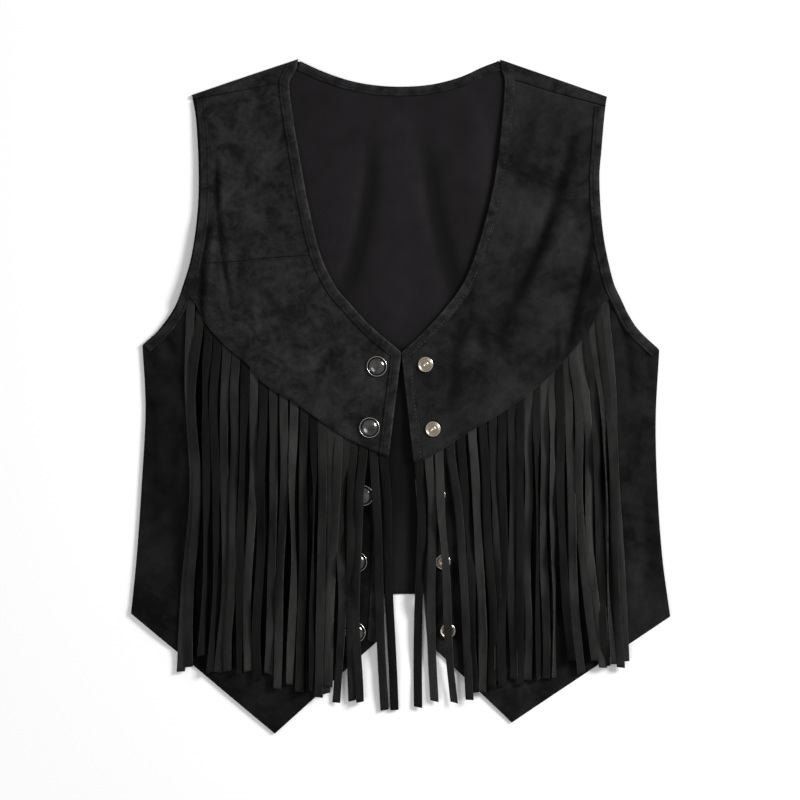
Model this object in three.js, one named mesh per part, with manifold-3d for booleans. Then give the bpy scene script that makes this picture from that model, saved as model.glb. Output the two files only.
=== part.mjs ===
// Fringe vest laid flat on its back, fronts up, as a set of cloth pieces and snaps.
// Millimetres. X runs across the vest, +Y runs up to the shoulders, +Z is away from the surface it
// lies on. The origin is the middle of the vest's outline, on that surface.
// "right" and "left" are the wearer's, so the right side has negative X.

import * as THREE from 'three';
import { mergeVertices } from 'three/addons/utils/BufferGeometryUtils.js';
import Module from 'manifold-3d';

// Cloth and seams
const CLOTH = 1.2;
const TRIM = 1.0;
const SEAM_GAP = 0.3;
const FRONT_REST = CLOTH + SEAM_GAP;
const FOLD_RADIUS = (CLOTH + FRONT_REST) / 2;
const FOLD_LEG = 4;

// Bands sewn along the edges
const BAND_WIDTH = 8;
const NECK_BAND_WIDTH = 7.5;
const NECK_BAND_END = 0.03;
const BAND_BELOW_YOKE = 14;

// Yoke seam: the lower front, the fringe's backing and the yoke's edge lie on each other. The
// lower front reaches OVERLAP up under the yoke, growing over the seam's first OVERLAP_RUN
const OVERLAP = 8.5;
const OVERLAP_RUN = 0.12;
const BACKING = { low: 0.5, high: 8, thick: 1.1, from: 0.05, to: 0.985 };
const YOKE_STEP = CLOTH + SEAM_GAP + BACKING.thick + SEAM_GAP;
const STEP_FLAT = 18.5;
const STEP_END = 40;
const YOKE_EDGE_REACH = 5;
const SHOULDER_GAP = 0.39;

// The fronts lie clear of the back's hem by a margin, then come down to the surface
const HEM_DROP = 20;
const HEM_MARGIN = 18;

// Fringe strands. A strand is fused in its backing down to STRAND_FREE below the seam, passes the
// heights in STRAND_LEVELS that lie LEVEL_CLEAR below that, and turns over its first TURN_RUN
const STRAND_WIDTH = 7.5;
const STRAND_THICK = 0.9;
const STRAND_CLEAR = 0.5;
const STRAND_ROOT = 4;
const STRAND_FREE = 2;
const STRAND_SEGMENTS = 10;
const STRAND_LEVELS = { high: 0, middle: -87, low: -165 };
const LEVEL_CLEAR = 25;
const TURN_RUN = 60;
const REACH_ALONG = 7;
const EDGE_CLEAR = 2;

// Snaps
const SNAP_SIDES = 14;
const CAP_PROFILE = [
  { r: 0, z: 0 }, { r: 8.2, z: 0 }, { r: 8.5, z: 0.5 }, { r: 8.3, z: 1.4 },
  { r: 7.4, z: 1.8 }, { r: 5.2, z: 3.0 }, { r: 2.6, z: 3.6 }, { r: 0, z: 3.8 },
];
const STUD_PROFILE = [
  { r: 0, z: 0 }, { r: 6.2, z: 0 }, { r: 6.5, z: 0.6 }, { r: 5.9, z: 1.6 }, { r: 4.9, z: 1.8 },
  { r: 4.2, z: 0.9 }, { r: 2.3, z: 0.9 }, { r: 2.1, z: 2.6 }, { r: 1.4, z: 3.0 }, { r: 0, z: 3.1 },
];
const SNAP_RADIUS = 8.5;
const SNAP_REACH = 9.5;
const CAP_HEIGHT = CAP_PROFILE.at(-1).z;

// Grids: cells across and up the panels, stations along the bands, and samples of the curves
const BACK_GRID = { columns: 20, rows: 18 };
const ARMHOLE_COLUMNS = 4;
const YOKE_COLUMNS = 17;
const LOWER_COLUMNS = ARMHOLE_COLUMNS + YOKE_COLUMNS;
const HEM_COLUMNS = 12;
const LOWER_ROWS = 12;
const YOKE_RIGHT_ROWS = { opening: 5, neck: 6 };
const YOKE_LEFT_ROWS = { opening: 5, neck: 13 };
const YOKE_UPPER_GRID = { columns: 12, rows: 10 };
const SHOULDER_GRID = { stations: 6, turns: 6 };
const NECK_STATIONS = 24;
const EDGE_STATIONS = 28;
const FRONT_BAND_STATIONS = 14;
const OPENING_SHARE = 0.25;
const CURVE_DIVISIONS = 400;
const HEIGHT_SAMPLES = 240;
const PATH_SAMPLES = 120;
const RIM_SAMPLES = 24;
const CAPS = [
  { x: -20, y: 24.9 }, { x: -26.1, y: -26.5 }, { x: -31.3, y: -83.6 },
  { x: -36.8, y: -139.4 }, { x: -38, y: -198.7 },
];
const STUDS = [
  { x: 20.9, y: 26.5 }, { x: 27.1, y: -27.7 }, { x: 31.3, y: -83.2 },
  { x: 35.5, y: -139.4 }, { x: 39.7, y: -197.4 },
];

// Edges of the back, from the hem up
const BACK_HEM = [
  { x: -227, y: -183 }, { x: -150, y: -174 }, { x: -60, y: -168 }, { x: 2, y: -166.8 },
  { x: 60, y: -168.5 }, { x: 150, y: -175.5 }, { x: 226.8, y: -185.5 },
];
const SIDE_RIGHT = [
  { x: -227, y: -183 }, { x: -222.4, y: -137 }, { x: -218.2, y: -77 },
  { x: -214.8, y: -10 }, { x: -217.4, y: 42.5 },
];
const SIDE_LEFT = [
  { x: 226.8, y: -185.5 }, { x: 220.3, y: -137 }, { x: 216, y: -77 },
  { x: 214.6, y: -20 }, { x: 217.6, y: 38.6 },
];
const BACK_ARMHOLE_RIGHT = [
  { x: -217.4, y: 42.5 }, { x: -204.8, y: 54.6 }, { x: -190.5, y: 74.8 }, { x: -182.9, y: 95 },
  { x: -177, y: 115 }, { x: -171.2, y: 155 }, { x: -170.3, y: 190 }, { x: -172.8, y: 236 },
  { x: -175.6, y: 251.6 },
];
const BACK_ARMHOLE_LEFT = [
  { x: 217.6, y: 38.6 }, { x: 201, y: 54.6 }, { x: 188.4, y: 74.8 }, { x: 179.1, y: 95 },
  { x: 170.7, y: 135 }, { x: 167.4, y: 185 }, { x: 169, y: 206 }, { x: 171.6, y: 236 },
  { x: 173, y: 250.4 },
];
const BACK_NECK = [
  { x: -86.3, y: 282.2 }, { x: -67.1, y: 273.3 }, { x: -43, y: 265 }, { x: -18.9, y: 260.8 },
  { x: 5.1, y: 260 }, { x: 27.6, y: 262 }, { x: 51.7, y: 268.5 }, { x: 69.3, y: 276.5 },
  { x: 83.5, y: 281.9 },
];

// Shoulders: the back folds forward along fold and ends at seam, both from the neck outwards
const SHOULDER_RIGHT = {
  fold: [{ x: -86.3, y: 283.7 }, { x: -131, y: 268.8 }, { x: -176.4, y: 253.3 }],
  seam: [{ x: -94.1, y: 264.6 }, { x: -133, y: 257.5 }, { x: -174.2, y: 250.2 }],
};
const SHOULDER_LEFT = {
  fold: [{ x: 83.5, y: 283.4 }, { x: 128, y: 268 }, { x: 173.5, y: 252.1 }],
  seam: [{ x: 87.8, y: 268.5 }, { x: 124, y: 257.3 }, { x: 172.2, y: 244 }],
};

// Edges of the fronts, from the bottom up, and of the yoke seam, from the armhole to the opening
const ARMHOLE_RIGHT = {
  lower: [
    { x: -217.2, y: 42.3 }, { x: -203.2, y: 54.6 }, { x: -194.6, y: 64.7 },
    { x: -188.6, y: 74.8 }, { x: -183.3, y: 88 },
  ],
  middle: [{ x: -183.3, y: 88 }, { x: -180.6, y: 95 }, { x: -176, y: 111 }],
  upper: [
    { x: -176, y: 111.3 }, { x: -171.7, y: 135 }, { x: -169.2, y: 155 }, { x: -168.3, y: 190 },
    { x: -169.2, y: 216 }, { x: -172.6, y: 249.6 },
  ],
};
const ARMHOLE_LEFT = {
  lower: [
    { x: 217.4, y: 38.4 }, { x: 200, y: 54.6 }, { x: 192.4, y: 64.7 },
    { x: 187.4, y: 74.8 }, { x: 181.8, y: 86 },
  ],
  upper: [
    { x: 181.8, y: 86 }, { x: 178, y: 95 }, { x: 169.7, y: 135 }, { x: 166.4, y: 185 },
    { x: 168, y: 206 }, { x: 171, y: 243.6 },
  ],
};
const NECK_RIGHT = {
  lower: [
    { x: 0, y: 36.5 }, { x: -26.9, y: 59.6 }, { x: -44.6, y: 79 }, { x: -54.2, y: 90 },
    { x: -67.7, y: 117.8 },
  ],
  upper: [
    { x: -67.8, y: 118.1 }, { x: -77.6, y: 157.6 }, { x: -84.8, y: 196.2 },
    { x: -91.2, y: 234.8 }, { x: -94.1, y: 264.2 },
  ],
};
const NECK_LEFT = [
  { x: 1.1, y: 36.5 }, { x: 13.1, y: 47 }, { x: 35.6, y: 70.8 }, { x: 53.3, y: 94.9 },
  { x: 66.1, y: 127.1 }, { x: 79, y: 178.5 }, { x: 85.4, y: 226.8 }, { x: 87.8, y: 268.1 },
];
const OPENING_RIGHT = { yoke: { x: -10.7, y: -51.2 }, hem: { x: -20.5, y: -207.1 } };
const OPENING_LEFT = { yoke: { x: 11.5, y: -56 }, hem: { x: 22.9, y: -207.5 } };
const CROSS_SEAM = [
  { x: -176, y: 111 }, { x: -147.2, y: 112.1 }, { x: -95.6, y: 116.9 }, { x: -67.7, y: 117.8 },
];
const YOKE_SEAM_RIGHT = [
  { x: -183.3, y: 88 }, { x: -174, y: 80 }, { x: -166, y: 64 }, { x: -149.3, y: 44.2 },
  { x: -127.6, y: 25.4 }, { x: -117.5, y: 12.3 }, { x: -85, y: -8.6 }, { x: -46.2, y: -35 },
  { x: -10.7, y: -51.2 },
];
const YOKE_SEAM_LEFT = [
  { x: 181.8, y: 86 }, { x: 169.5, y: 77 }, { x: 158.6, y: 56.5 }, { x: 140.9, y: 34 },
  { x: 117.6, y: 9.9 }, { x: 87.1, y: -12.6 }, { x: 54.9, y: -31.8 }, { x: 26, y: -50.3 },
  { x: 11.5, y: -56 },
];
const POINT_RIGHT = { x: -106, y: -284.3 };
const POINT_LEFT = { x: 93.5, y: -275 };

// Soft ridges in the fronts, the cloth's largest folds: from one end to the other
const FOLDS_RIGHT = [
  { x0: -130, y0: 220, x1: -120, y1: 95, width: 26, height: 2.2 },
  { x0: -88, y0: 95, x1: -48, y1: 10, width: 28, height: 1.6 },
  { x0: -205, y0: 5, x1: -200, y1: -90, width: 18, height: 1.2 },
];
const FOLDS_LEFT = [
  { x0: 112, y0: 215, x1: 92, y1: 120, width: 24, height: 2.0 },
  { x0: 130, y0: 160, x1: 115, y1: 60, width: 22, height: 2.2 },
  { x0: 76, y0: 82, x1: 70, y1: 30, width: 20, height: 1.4 },
  { x0: 200, y0: -10, x1: 198, y1: -80, width: 18, height: 1.0 },
];

// Strands, from the armhole to the opening: x at the yoke seam and at each level, tip and its
// height on the vest, turn of the strip about its length in degrees, and lift over its neighbours
const STRANDS_RIGHT = [
  { root: -176.5, high: -177.5, middle: -174, low: -181, tip: -185.4, end: -231.8, turn: 0, lift: 0 },
  { root: -169, high: -175, middle: -171, low: -176.8, tip: -177.5, end: -227.5, turn: 0, lift: 1.6 },
  { root: -161.5, high: -164.4, middle: -161.9, low: -164.5, tip: -168.5, end: -217.6, turn: 50, lift: 0 },
  { root: -154, high: -157, middle: -155, low: -155.6, tip: -160.5, end: -232, turn: 40, lift: 0 },
  { root: -146.3, high: -147.8, middle: -146.9, low: -148.2, tip: -152.8, end: -232.3, turn: 0, lift: 0 },
  { root: -138.5, high: -140, middle: -139.5, low: -143, tip: -145, end: -231, turn: 0, lift: 1.6 },
  { root: -131, high: -131.5, middle: -132.6, low: -135.8, tip: -136.7, end: -233.5, turn: 40, lift: 0 },
  { root: -123.3, high: -123.6, middle: -124.8, low: -128, tip: -128, end: -231, turn: 0, lift: 0 },
  { root: -115.3, high: -115.3, middle: -116.7, low: -119.9, tip: -119.9, end: -239.4, turn: 0, lift: 1.6 },
  { root: -107.2, high: -107, middle: -106, low: -109.3, tip: -111.5, end: -233.5, turn: 0, lift: 0 },
  { root: -98.3, high: -98.3, middle: -98.3, low: -100.6, tip: -104.5, end: -245.3, turn: 0, lift: 1.6 },
  { root: -89.5, high: -89.5, middle: -91, low: -90, tip: -93.5, end: -242, turn: 45, lift: 0 },
  { root: -81, high: -81, middle: -82, low: -83, tip: -84.6, end: -248.6, turn: 0, lift: 0 },
  { root: -73.2, high: -73.2, middle: -72, low: -73.6, tip: -76.8, end: -247, turn: 70, lift: 0 },
  { root: -66, high: -66, middle: -66, low: -66.5, tip: -69.5, end: -252.8, turn: 0, lift: 1.6 },
  { root: -58.8, high: -58.8, middle: -59.5, low: -60, tip: -63, end: -250, turn: 0, lift: 0 },
  { root: -52, high: -52, middle: -54.4, low: -58.5, tip: -61, end: -244, turn: 0, lift: 1.6 },
  { root: -46, high: -46, middle: -50, low: -49.6, tip: -53.6, end: -257.9, turn: 0, lift: 0 },
  { root: -39.7, high: -39.7, middle: -42, low: -41.5, tip: -41, end: -256.2, turn: 0, lift: 0 },
  { root: -31.3, high: -31.3, middle: -34.6, low: -37.4, tip: -35, end: -257, turn: 0, lift: 1.6 },
  { root: -22.7, high: -22.7, middle: -20.5, low: -18, tip: -13.7, end: -264.2, turn: 0, lift: 0 },
  { root: -14.5, high: -14.5, middle: -11.3, low: -9.9, tip: -5.5, end: -264.2, turn: 0, lift: 0 },
];
const STRANDS_LEFT = [
  { root: 171.5, high: 177.5, middle: 181.5, low: 185, tip: 189, end: -223, turn: 0, lift: 0 },
  { root: 167, high: 173.8, middle: 178.3, low: 181, tip: 184.3, end: -228, turn: 0, lift: 1.6 },
  { root: 161.5, high: 168.5, middle: 172.2, low: 174.5, tip: 178.3, end: -225, turn: 65, lift: 0 },
  { root: 156, high: 162.5, middle: 165.5, low: 168, tip: 172.5, end: -226.8, turn: 0, lift: 1.6 },
  { root: 150.2, high: 155.5, middle: 157.8, low: 162, tip: 169.5, end: -228, turn: 0, lift: 0 },
  { root: 144.5, high: 148.3, middle: 149.9, low: 155.3, tip: 164, end: -222, turn: 0, lift: 1.6 },
  { root: 139, high: 141, middle: 142.2, low: 146.5, tip: 151, end: -232.7, turn: 0, lift: 0 },
  { root: 133.3, high: 133.8, middle: 134.2, low: 137.5, tip: 144.5, end: -221.8, turn: 0, lift: 1.6 },
  { root: 127.2, high: 127.2, middle: 127.3, low: 129, tip: 128.2, end: -236, turn: 55, lift: 0 },
  { root: 120.6, high: 120.6, middle: 120, low: 121.5, tip: 121.3, end: -237, turn: 0, lift: 0 },
  { root: 114.2, high: 114.2, middle: 113.8, low: 115, tip: 115.2, end: -237.7, turn: 65, lift: 0 },
  { root: 107.6, high: 107.6, middle: 106.7, low: 106.3, tip: 106.5, end: -238.6, turn: 0, lift: 0 },
  { root: 100.4, high: 100.4, middle: 100.3, low: 99.8, tip: 100.2, end: -242.8, turn: 0, lift: 1.6 },
  { root: 93, high: 93, middle: 94, low: 93.9, tip: 93.9, end: -237.7, turn: 0, lift: 0 },
  { root: 85.2, high: 85.2, middle: 85.3, low: 85.3, tip: 85.5, end: -243.2, turn: 0, lift: 1.6 },
  { root: 77.2, high: 77.2, middle: 79, low: 81.5, tip: 82, end: -239, turn: 0, lift: 0 },
  { root: 69, high: 69, middle: 72.5, low: 75.8, tip: 77.1, end: -244.4, turn: 0, lift: 1.6 },
  { root: 60, high: 60, middle: 64.2, low: 67, tip: 68.8, end: -248.6, turn: 0, lift: 1.6 },
  { root: 50.8, high: 50.8, middle: 54.8, low: 59.4, tip: 61.5, end: -249, turn: 0, lift: 0 },
  { root: 41.8, high: 41.8, middle: 47.3, low: 54, tip: 57.3, end: -255, turn: 0, lift: 1.6 },
  { root: 32.2, high: 32.2, middle: 33.8, low: 38, tip: 44.7, end: -257.5, turn: 0, lift: 1.6 },
  { root: 23.6, high: 23.6, middle: 26.3, low: 25.2, tip: 28.3, end: -256.6, turn: 0, lift: 0 },
  { root: 15.4, high: 15.4, middle: 17.6, low: 15.1, tip: 14.5, end: -261.7, turn: 0, lift: 0 },
];

const wasm = await Module();
wasm.setup();
const vest = new THREE.Group();

// Small sums
const mix = (a, b, t) => a + (b - a) * t;
const ease = (t) => THREE.MathUtils.smoothstep(t, 0, 1);

// Edge curves: each is a function from 0 to 1 that gives a point
function edge(rows) {
  const curve = new THREE.CatmullRomCurve3(
    rows.map(({ x, y }) => new THREE.Vector3(x, y, 0)), false, 'centripetal');
  curve.arcLengthDivisions = CURVE_DIVISIONS;
  return (t) => curve.getPointAt(THREE.MathUtils.clamp(t, 0, 1));
}

const reversed = (curve) => (t) => curve(1 - t);

function joined(first, second, share) {
  return (t) => (t < share ? first(t / share) : second((t - share) / (1 - share)));
}

function moved(curve, dx, dy) {
  return (t) => {
    const p = curve(t);
    return new THREE.Vector3(p.x + dx, p.y + dy, 0);
  };
}

function inwardNormal(curve, t, side) {
  const step = 0.004;
  const along = curve(Math.min(t + step, 1)).sub(curve(Math.max(t - step, 0))).normalize();
  return new THREE.Vector3(-along.y * side, along.x * side, 0);
}

function heightOver(curve) {
  const samples = Array.from({ length: HEIGHT_SAMPLES + 1 }, (_, i) => curve(i / HEIGHT_SAMPLES));
  samples.sort((a, b) => a.x - b.x);
  return (x) => {
    const next = samples.findIndex((p) => p.x >= x);
    if (next === 0) return samples[0].y;
    if (next < 0) return samples.at(-1).y;
    const [a, b] = [samples[next - 1], samples[next]];
    return mix(a.y, b.y, (x - a.x) / Math.max(b.x - a.x, 1e-6));
  };
}

// Surfaces: a patch is spanned by four edges, left and right running up, bottom and top across
function patch({ left, right, bottom, top }) {
  const corners = [bottom(0), bottom(1), top(0), top(1)];
  return (s, t) => {
    const [b, u, l, r] = [bottom(s), top(s), left(t), right(t)];
    const blend = (k) => mix(b[k], u[k], t) + mix(l[k], r[k], s)
      - mix(mix(corners[0][k], corners[1][k], s), mix(corners[2][k], corners[3][k], s), t);
    return { x: blend('x'), y: blend('y') };
  };
}

// Solids
function solid(points, faces) {
  const geometry = new THREE.BufferGeometry();
  geometry.setAttribute('position', new THREE.Float32BufferAttribute(points.flat(), 3));
  geometry.setIndex(faces.flat());
  return geometry;
}

// A slab is a grid of places, each with x, y and the height of its lower and upper face
function slab(columns, rows, place) {
  const points = [];
  const faces = [];
  const count = (columns + 1) * (rows + 1);
  const at = (i, j) => j * (columns + 1) + i;
  const grid = [];
  for (let j = 0; j <= rows; j += 1) {
    for (let i = 0; i <= columns; i += 1) grid.push(place(i / columns, j / rows));
  }
  grid.forEach((p) => points.push([p.x, p.y, p.low]));
  grid.forEach((p) => points.push([p.x, p.y, p.high]));
  for (let j = 0; j < rows; j += 1) {
    for (let i = 0; i < columns; i += 1) {
      const [a, b, c, d] = [at(i, j), at(i + 1, j), at(i + 1, j + 1), at(i, j + 1)];
      faces.push([a, c, b], [a, d, c]);
      faces.push([a + count, b + count, c + count], [a + count, c + count, d + count]);
    }
  }
  const rim = [];
  for (let i = 0; i < columns; i += 1) rim.push(at(i, 0));
  for (let j = 0; j < rows; j += 1) rim.push(at(columns, j));
  for (let i = columns; i > 0; i -= 1) rim.push(at(i, rows));
  for (let j = rows; j > 0; j -= 1) rim.push(at(0, j));
  rim.forEach((a, k) => {
    const b = rim[(k + 1) % rim.length];
    faces.push([a, b, b + count], [a, b + count, a + count]);
  });
  return outward(solid(points, faces));
}

// A loft joins rings of points, all with the same count, and closes both ends
function loft(rings) {
  const size = rings[0].length;
  const points = rings.flat();
  const faces = [];
  for (let k = 0; k < rings.length - 1; k += 1) {
    for (let i = 0; i < size; i += 1) {
      const [a, b] = [k * size + i, k * size + ((i + 1) % size)];
      faces.push([a, b, b + size], [a, b + size, a + size]);
    }
  }
  const outline = rings[0].map((p) => new THREE.Vector2(...ringPlane(rings[0], p)));
  const clockwise = THREE.ShapeUtils.isClockWise(outline);
  const cap = THREE.ShapeUtils.triangulateShape(outline, [])
    .map(([a, b, c]) => (clockwise ? [a, c, b] : [a, b, c]));
  const last = (rings.length - 1) * size;
  cap.forEach(([a, b, c]) => faces.push([a, c, b], [last + a, last + b, last + c]));
  return outward(solid(points, faces));
}

// Places a ring's point in the ring's own plane, which stands upright along its widest run
function ringPlane(ring, point) {
  const xs = ring.map((p) => p[0]);
  const ys = ring.map((p) => p[1]);
  const across = [Math.max(...xs) - Math.min(...xs), Math.max(...ys) - Math.min(...ys)];
  return across[0] > across[1] ? [point[0], point[2]] : [-point[1], point[2]];
}

function outward(geometry) {
  const position = geometry.getAttribute('position');
  const index = geometry.getIndex().array;
  const [a, b, c] = [new THREE.Vector3(), new THREE.Vector3(), new THREE.Vector3()];
  let volume = 0;
  for (let i = 0; i < index.length; i += 3) {
    a.fromBufferAttribute(position, index[i]);
    b.fromBufferAttribute(position, index[i + 1]);
    c.fromBufferAttribute(position, index[i + 2]);
    volume += a.dot(b.cross(c));
  }
  if (volume < 0) {
    for (let i = 0; i < index.length; i += 3) {
      [index[i], index[i + 1]] = [index[i + 1], index[i]];
    }
  }
  return geometry;
}

function union(geometries) {
  const solids = geometries.map((geometry) => {
    const bare = mergeVertices(geometry.deleteAttribute('normal'), 1e-4);
    return new wasm.Manifold(new wasm.Mesh({
      numProp: 3,
      vertProperties: new Float32Array(bare.getAttribute('position').array),
      triVerts: new Uint32Array(bare.getIndex().array),
    }));
  });
  const mesh = solids.reduce((sum, part) => sum.add(part)).getMesh();
  const geometry = new THREE.BufferGeometry();
  geometry.setAttribute('position', new THREE.BufferAttribute(new Float32Array(mesh.vertProperties), 3));
  geometry.setIndex(new THREE.BufferAttribute(new Uint32Array(mesh.triVerts), 1));
  return geometry;
}

// Running highest value, then running mean: a smooth line that never dips below the values
function draped(values, reach) {
  const near = (list, i) => list.slice(Math.max(0, i - reach), i + reach + 1);
  const highest = values.map((_, i) => Math.max(...near(values, i)));
  return highest.map((_, i) => {
    const around = near(highest, i);
    return around.reduce((sum, v) => sum + v, 0) / around.length;
  });
}

// Materials
const suede = () => new THREE.MeshStandardMaterial({ color: 0x262726, roughness: 0.95, metalness: 0 });
const inside = () => new THREE.MeshStandardMaterial({ color: 0x221f23, roughness: 0.85, metalness: 0 });
const gunmetal = () => new THREE.MeshStandardMaterial({ color: 0x16171a, roughness: 0.22, metalness: 0.9 });
const nickel = () => new THREE.MeshStandardMaterial({ color: 0xb9ab93, roughness: 0.3, metalness: 1 });

function add(name, geometry, material) {
  geometry.computeVertexNormals();
  const mesh = new THREE.Mesh(geometry, material);
  mesh.name = name;
  vest.add(mesh);
  return mesh;
}

// Heights of the cloth. The back lies flat, and each front lies on it and then on the surface
const backHemHeight = heightOver(edge(BACK_HEM));

function foldHeight(folds, x, y) {
  const heights = folds.map(({ x0, y0, x1, y1, width, height }) => {
    const [dx, dy] = [x1 - x0, y1 - y0];
    const along = THREE.MathUtils.clamp(((x - x0) * dx + (y - y0) * dy) / (dx * dx + dy * dy), 0, 1);
    const away = Math.hypot(x - x0 - along * dx, y - y0 - along * dy);
    return height * (1 - ease(away / width));
  });
  return Math.max(0, ...heights);
}

function makeSide(spec) {
  const yokeSeam = edge(spec.yokeSeam);
  const yokeHeight = heightOver(yokeSeam);
  const { yoke, hem } = spec.opening;
  const openingX = (y) => mix(hem.x, yoke.x, (y - hem.y) / (yoke.y - hem.y));
  const under = (x, y) => FRONT_REST * ease((y - backHemHeight(x) + HEM_MARGIN + HEM_DROP) / HEM_DROP)
    + foldHeight(spec.folds, x, y);
  const yokeUnder = (x, y) => {
    const slope = (yokeHeight(x + 2) - yokeHeight(x - 2)) / 4;
    const away = (y - yokeHeight(x)) / Math.hypot(1, slope);
    return under(x, y) + YOKE_STEP * (1 - ease((away - STEP_FLAT) / (STEP_END - STEP_FLAT)));
  };
  const overlapRun = new THREE.Vector3(spec.meet.x - yoke.x, spec.meet.y - yoke.y, 0).normalize();
  const raised = (distance) => (t) => yokeSeam(t).addScaledVector(overlapRun, distance);
  return { ...spec, yokeSeam, yokeHeight, openingX, under, yokeUnder, raised };
}

const right = makeSide({
  sign: -1, folds: FOLDS_RIGHT, yokeSeam: YOKE_SEAM_RIGHT, opening: OPENING_RIGHT,
  meet: NECK_RIGHT.lower[0], point: POINT_RIGHT, side: SIDE_RIGHT, snaps: CAPS,
});
const left = makeSide({
  sign: 1, folds: FOLDS_LEFT, yokeSeam: YOKE_SEAM_LEFT, opening: OPENING_LEFT,
  meet: NECK_LEFT[0], point: POINT_LEFT, side: SIDE_LEFT, snaps: STUDS,
});

// A cloth piece is a patch with a wall over its underside height
function cloth(edges, columns, rows, under) {
  const place = patch(edges);
  return slab(columns, rows, (s, t) => {
    const { x, y } = place(s, t);
    const low = under(x, y);
    return { x, y, low, high: low + CLOTH };
  });
}

// Back: a flat panel, joined at each shoulder to the strip that folds forward over it
function backPanel() {
  const shoulder = (spec) => {
    const fold = edge(spec.fold);
    const seam = edge(spec.seam);
    return (t) => {
      const p = fold(t);
      return p.addScaledVector(seam(t).sub(p).normalize(), FOLD_RADIUS);
    };
  };
  const [outerRight, outerLeft] = [shoulder(SHOULDER_RIGHT), shoulder(SHOULDER_LEFT)];
  const neck = edge([outerRight(0), ...BACK_NECK.slice(1, -1), outerLeft(0)]);
  const armRight = edge([...BACK_ARMHOLE_RIGHT.slice(0, -1), outerRight(1)]);
  const armLeft = edge([...BACK_ARMHOLE_LEFT.slice(0, -1), outerLeft(1)]);
  const flat = cloth({
    left: joined(edge(SIDE_RIGHT), armRight, 0.5),
    right: joined(edge(SIDE_LEFT), armLeft, 0.5),
    bottom: edge(BACK_HEM),
    top: joined(reversed(outerRight), joined(neck, outerLeft, 2 / 3), 1 / 4),
  }, BACK_GRID.columns, BACK_GRID.rows, () => 0);
  return union([flat, shoulderStrip(SHOULDER_RIGHT), shoulderStrip(SHOULDER_LEFT)]);
}

function shoulderStrip(spec) {
  const fold = edge(spec.fold);
  const seam = edge(spec.seam);
  const { stations, turns } = SHOULDER_GRID;
  const inner = FOLD_RADIUS - CLOTH;
  const rings = [];
  for (let k = 0; k <= stations; k += 1) {
    const start = fold(k / stations);
    const run = seam(k / stations).sub(start);
    const length = run.length();
    run.normalize();
    const spot = (away, z) => [start.x + run.x * away, start.y + run.y * away, z];
    const arc = (radius, i) => {
      const angle = (i / turns - 0.5) * Math.PI;
      return spot(FOLD_RADIUS - radius * Math.cos(angle), FOLD_RADIUS + radius * Math.sin(angle));
    };
    const ring = [spot(FOLD_RADIUS + FOLD_LEG, 0)];
    for (let i = 0; i <= turns; i += 1) ring.push(arc(FOLD_RADIUS, i));
    ring.push(spot(length, 2 * FOLD_RADIUS), spot(length, FOLD_RADIUS + inner));
    for (let i = turns; i >= 0; i -= 1) ring.push(arc(inner, i));
    ring.push(spot(FOLD_RADIUS + FOLD_LEG, CLOTH));
    rings.push(ring);
  }
  return loft(rings);
}

// Fronts below the yoke seam
function lowerFront(side, armhole) {
  const raised = (t) => side.raised(OVERLAP * Math.min(1, t / OVERLAP_RUN))(t);
  const top = joined(edge(armhole.lower), raised, ARMHOLE_COLUMNS / LOWER_COLUMNS);
  const { hem, yoke } = side.opening;
  const bottom = joined(edge([side.side[0], side.point]), edge([side.point, hem]),
    HEM_COLUMNS / LOWER_COLUMNS);
  const outer = edge(side.side);
  const opening = edge([hem, yoke, top(1)]);
  const edges = side.sign < 0
    ? { left: outer, right: opening, bottom, top }
    : { left: opening, right: outer, bottom: reversed(bottom), top: reversed(top) };
  return cloth(edges, LOWER_COLUMNS, LOWER_ROWS, side.under);
}

// Yokes. The right one is pieced: a cross seam parts it into an upper and a lower piece
function yokeRightLower() {
  const opening = edge([right.opening.yoke, NECK_RIGHT.lower[0]]);
  const rows = YOKE_RIGHT_ROWS.opening + YOKE_RIGHT_ROWS.neck;
  return cloth({
    left: edge(ARMHOLE_RIGHT.middle),
    right: joined(opening, edge(NECK_RIGHT.lower), YOKE_RIGHT_ROWS.opening / rows),
    bottom: right.yokeSeam,
    top: edge(CROSS_SEAM),
  }, YOKE_COLUMNS, rows, right.yokeUnder);
}

function yokeRightUpper() {
  return cloth({
    left: edge(ARMHOLE_RIGHT.upper),
    right: edge(NECK_RIGHT.upper),
    bottom: moved(edge(CROSS_SEAM), 0, SEAM_GAP),
    top: moved(reversed(edge(SHOULDER_RIGHT.seam)), 0, -SHOULDER_GAP),
  }, YOKE_UPPER_GRID.columns, YOKE_UPPER_GRID.rows, right.yokeUnder);
}

function yokeLeft() {
  const opening = edge([left.opening.yoke, NECK_LEFT[0]]);
  const rows = YOKE_LEFT_ROWS.opening + YOKE_LEFT_ROWS.neck;
  return cloth({
    left: joined(opening, edge(NECK_LEFT), YOKE_LEFT_ROWS.opening / rows),
    right: edge(ARMHOLE_LEFT.upper),
    bottom: reversed(left.yokeSeam),
    top: moved(edge(SHOULDER_LEFT.seam), 0, -SHOULDER_GAP),
  }, YOKE_COLUMNS, rows, left.yokeUnder);
}

// A band lies on a panel along its edge, from the panel's own edge points
function band(curve, { width, stations, inward, topAt, from = 0, to = 1 }) {
  const spots = Array.from({ length: stations + 1 }, (_, i) => {
    const t = mix(from, to, i / stations);
    const outer = curve(t);
    return { outer, inner: outer.clone().addScaledVector(inwardNormal(curve, t, inward), width) };
  });
  const line = (key) => draped(spots.map((spot) => topAt(spot[key].x, spot[key].y)), 2);
  const tops = { outer: line('outer'), inner: line('inner') };
  return slab(stations, 1, (s, t) => {
    const i = Math.round(s * stations);
    const key = t < 0.5 ? 'outer' : 'inner';
    const { x, y } = spots[i][key];
    const low = tops[key][i] + SEAM_GAP;
    return { x, y, low, high: low + TRIM };
  });
}

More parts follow.
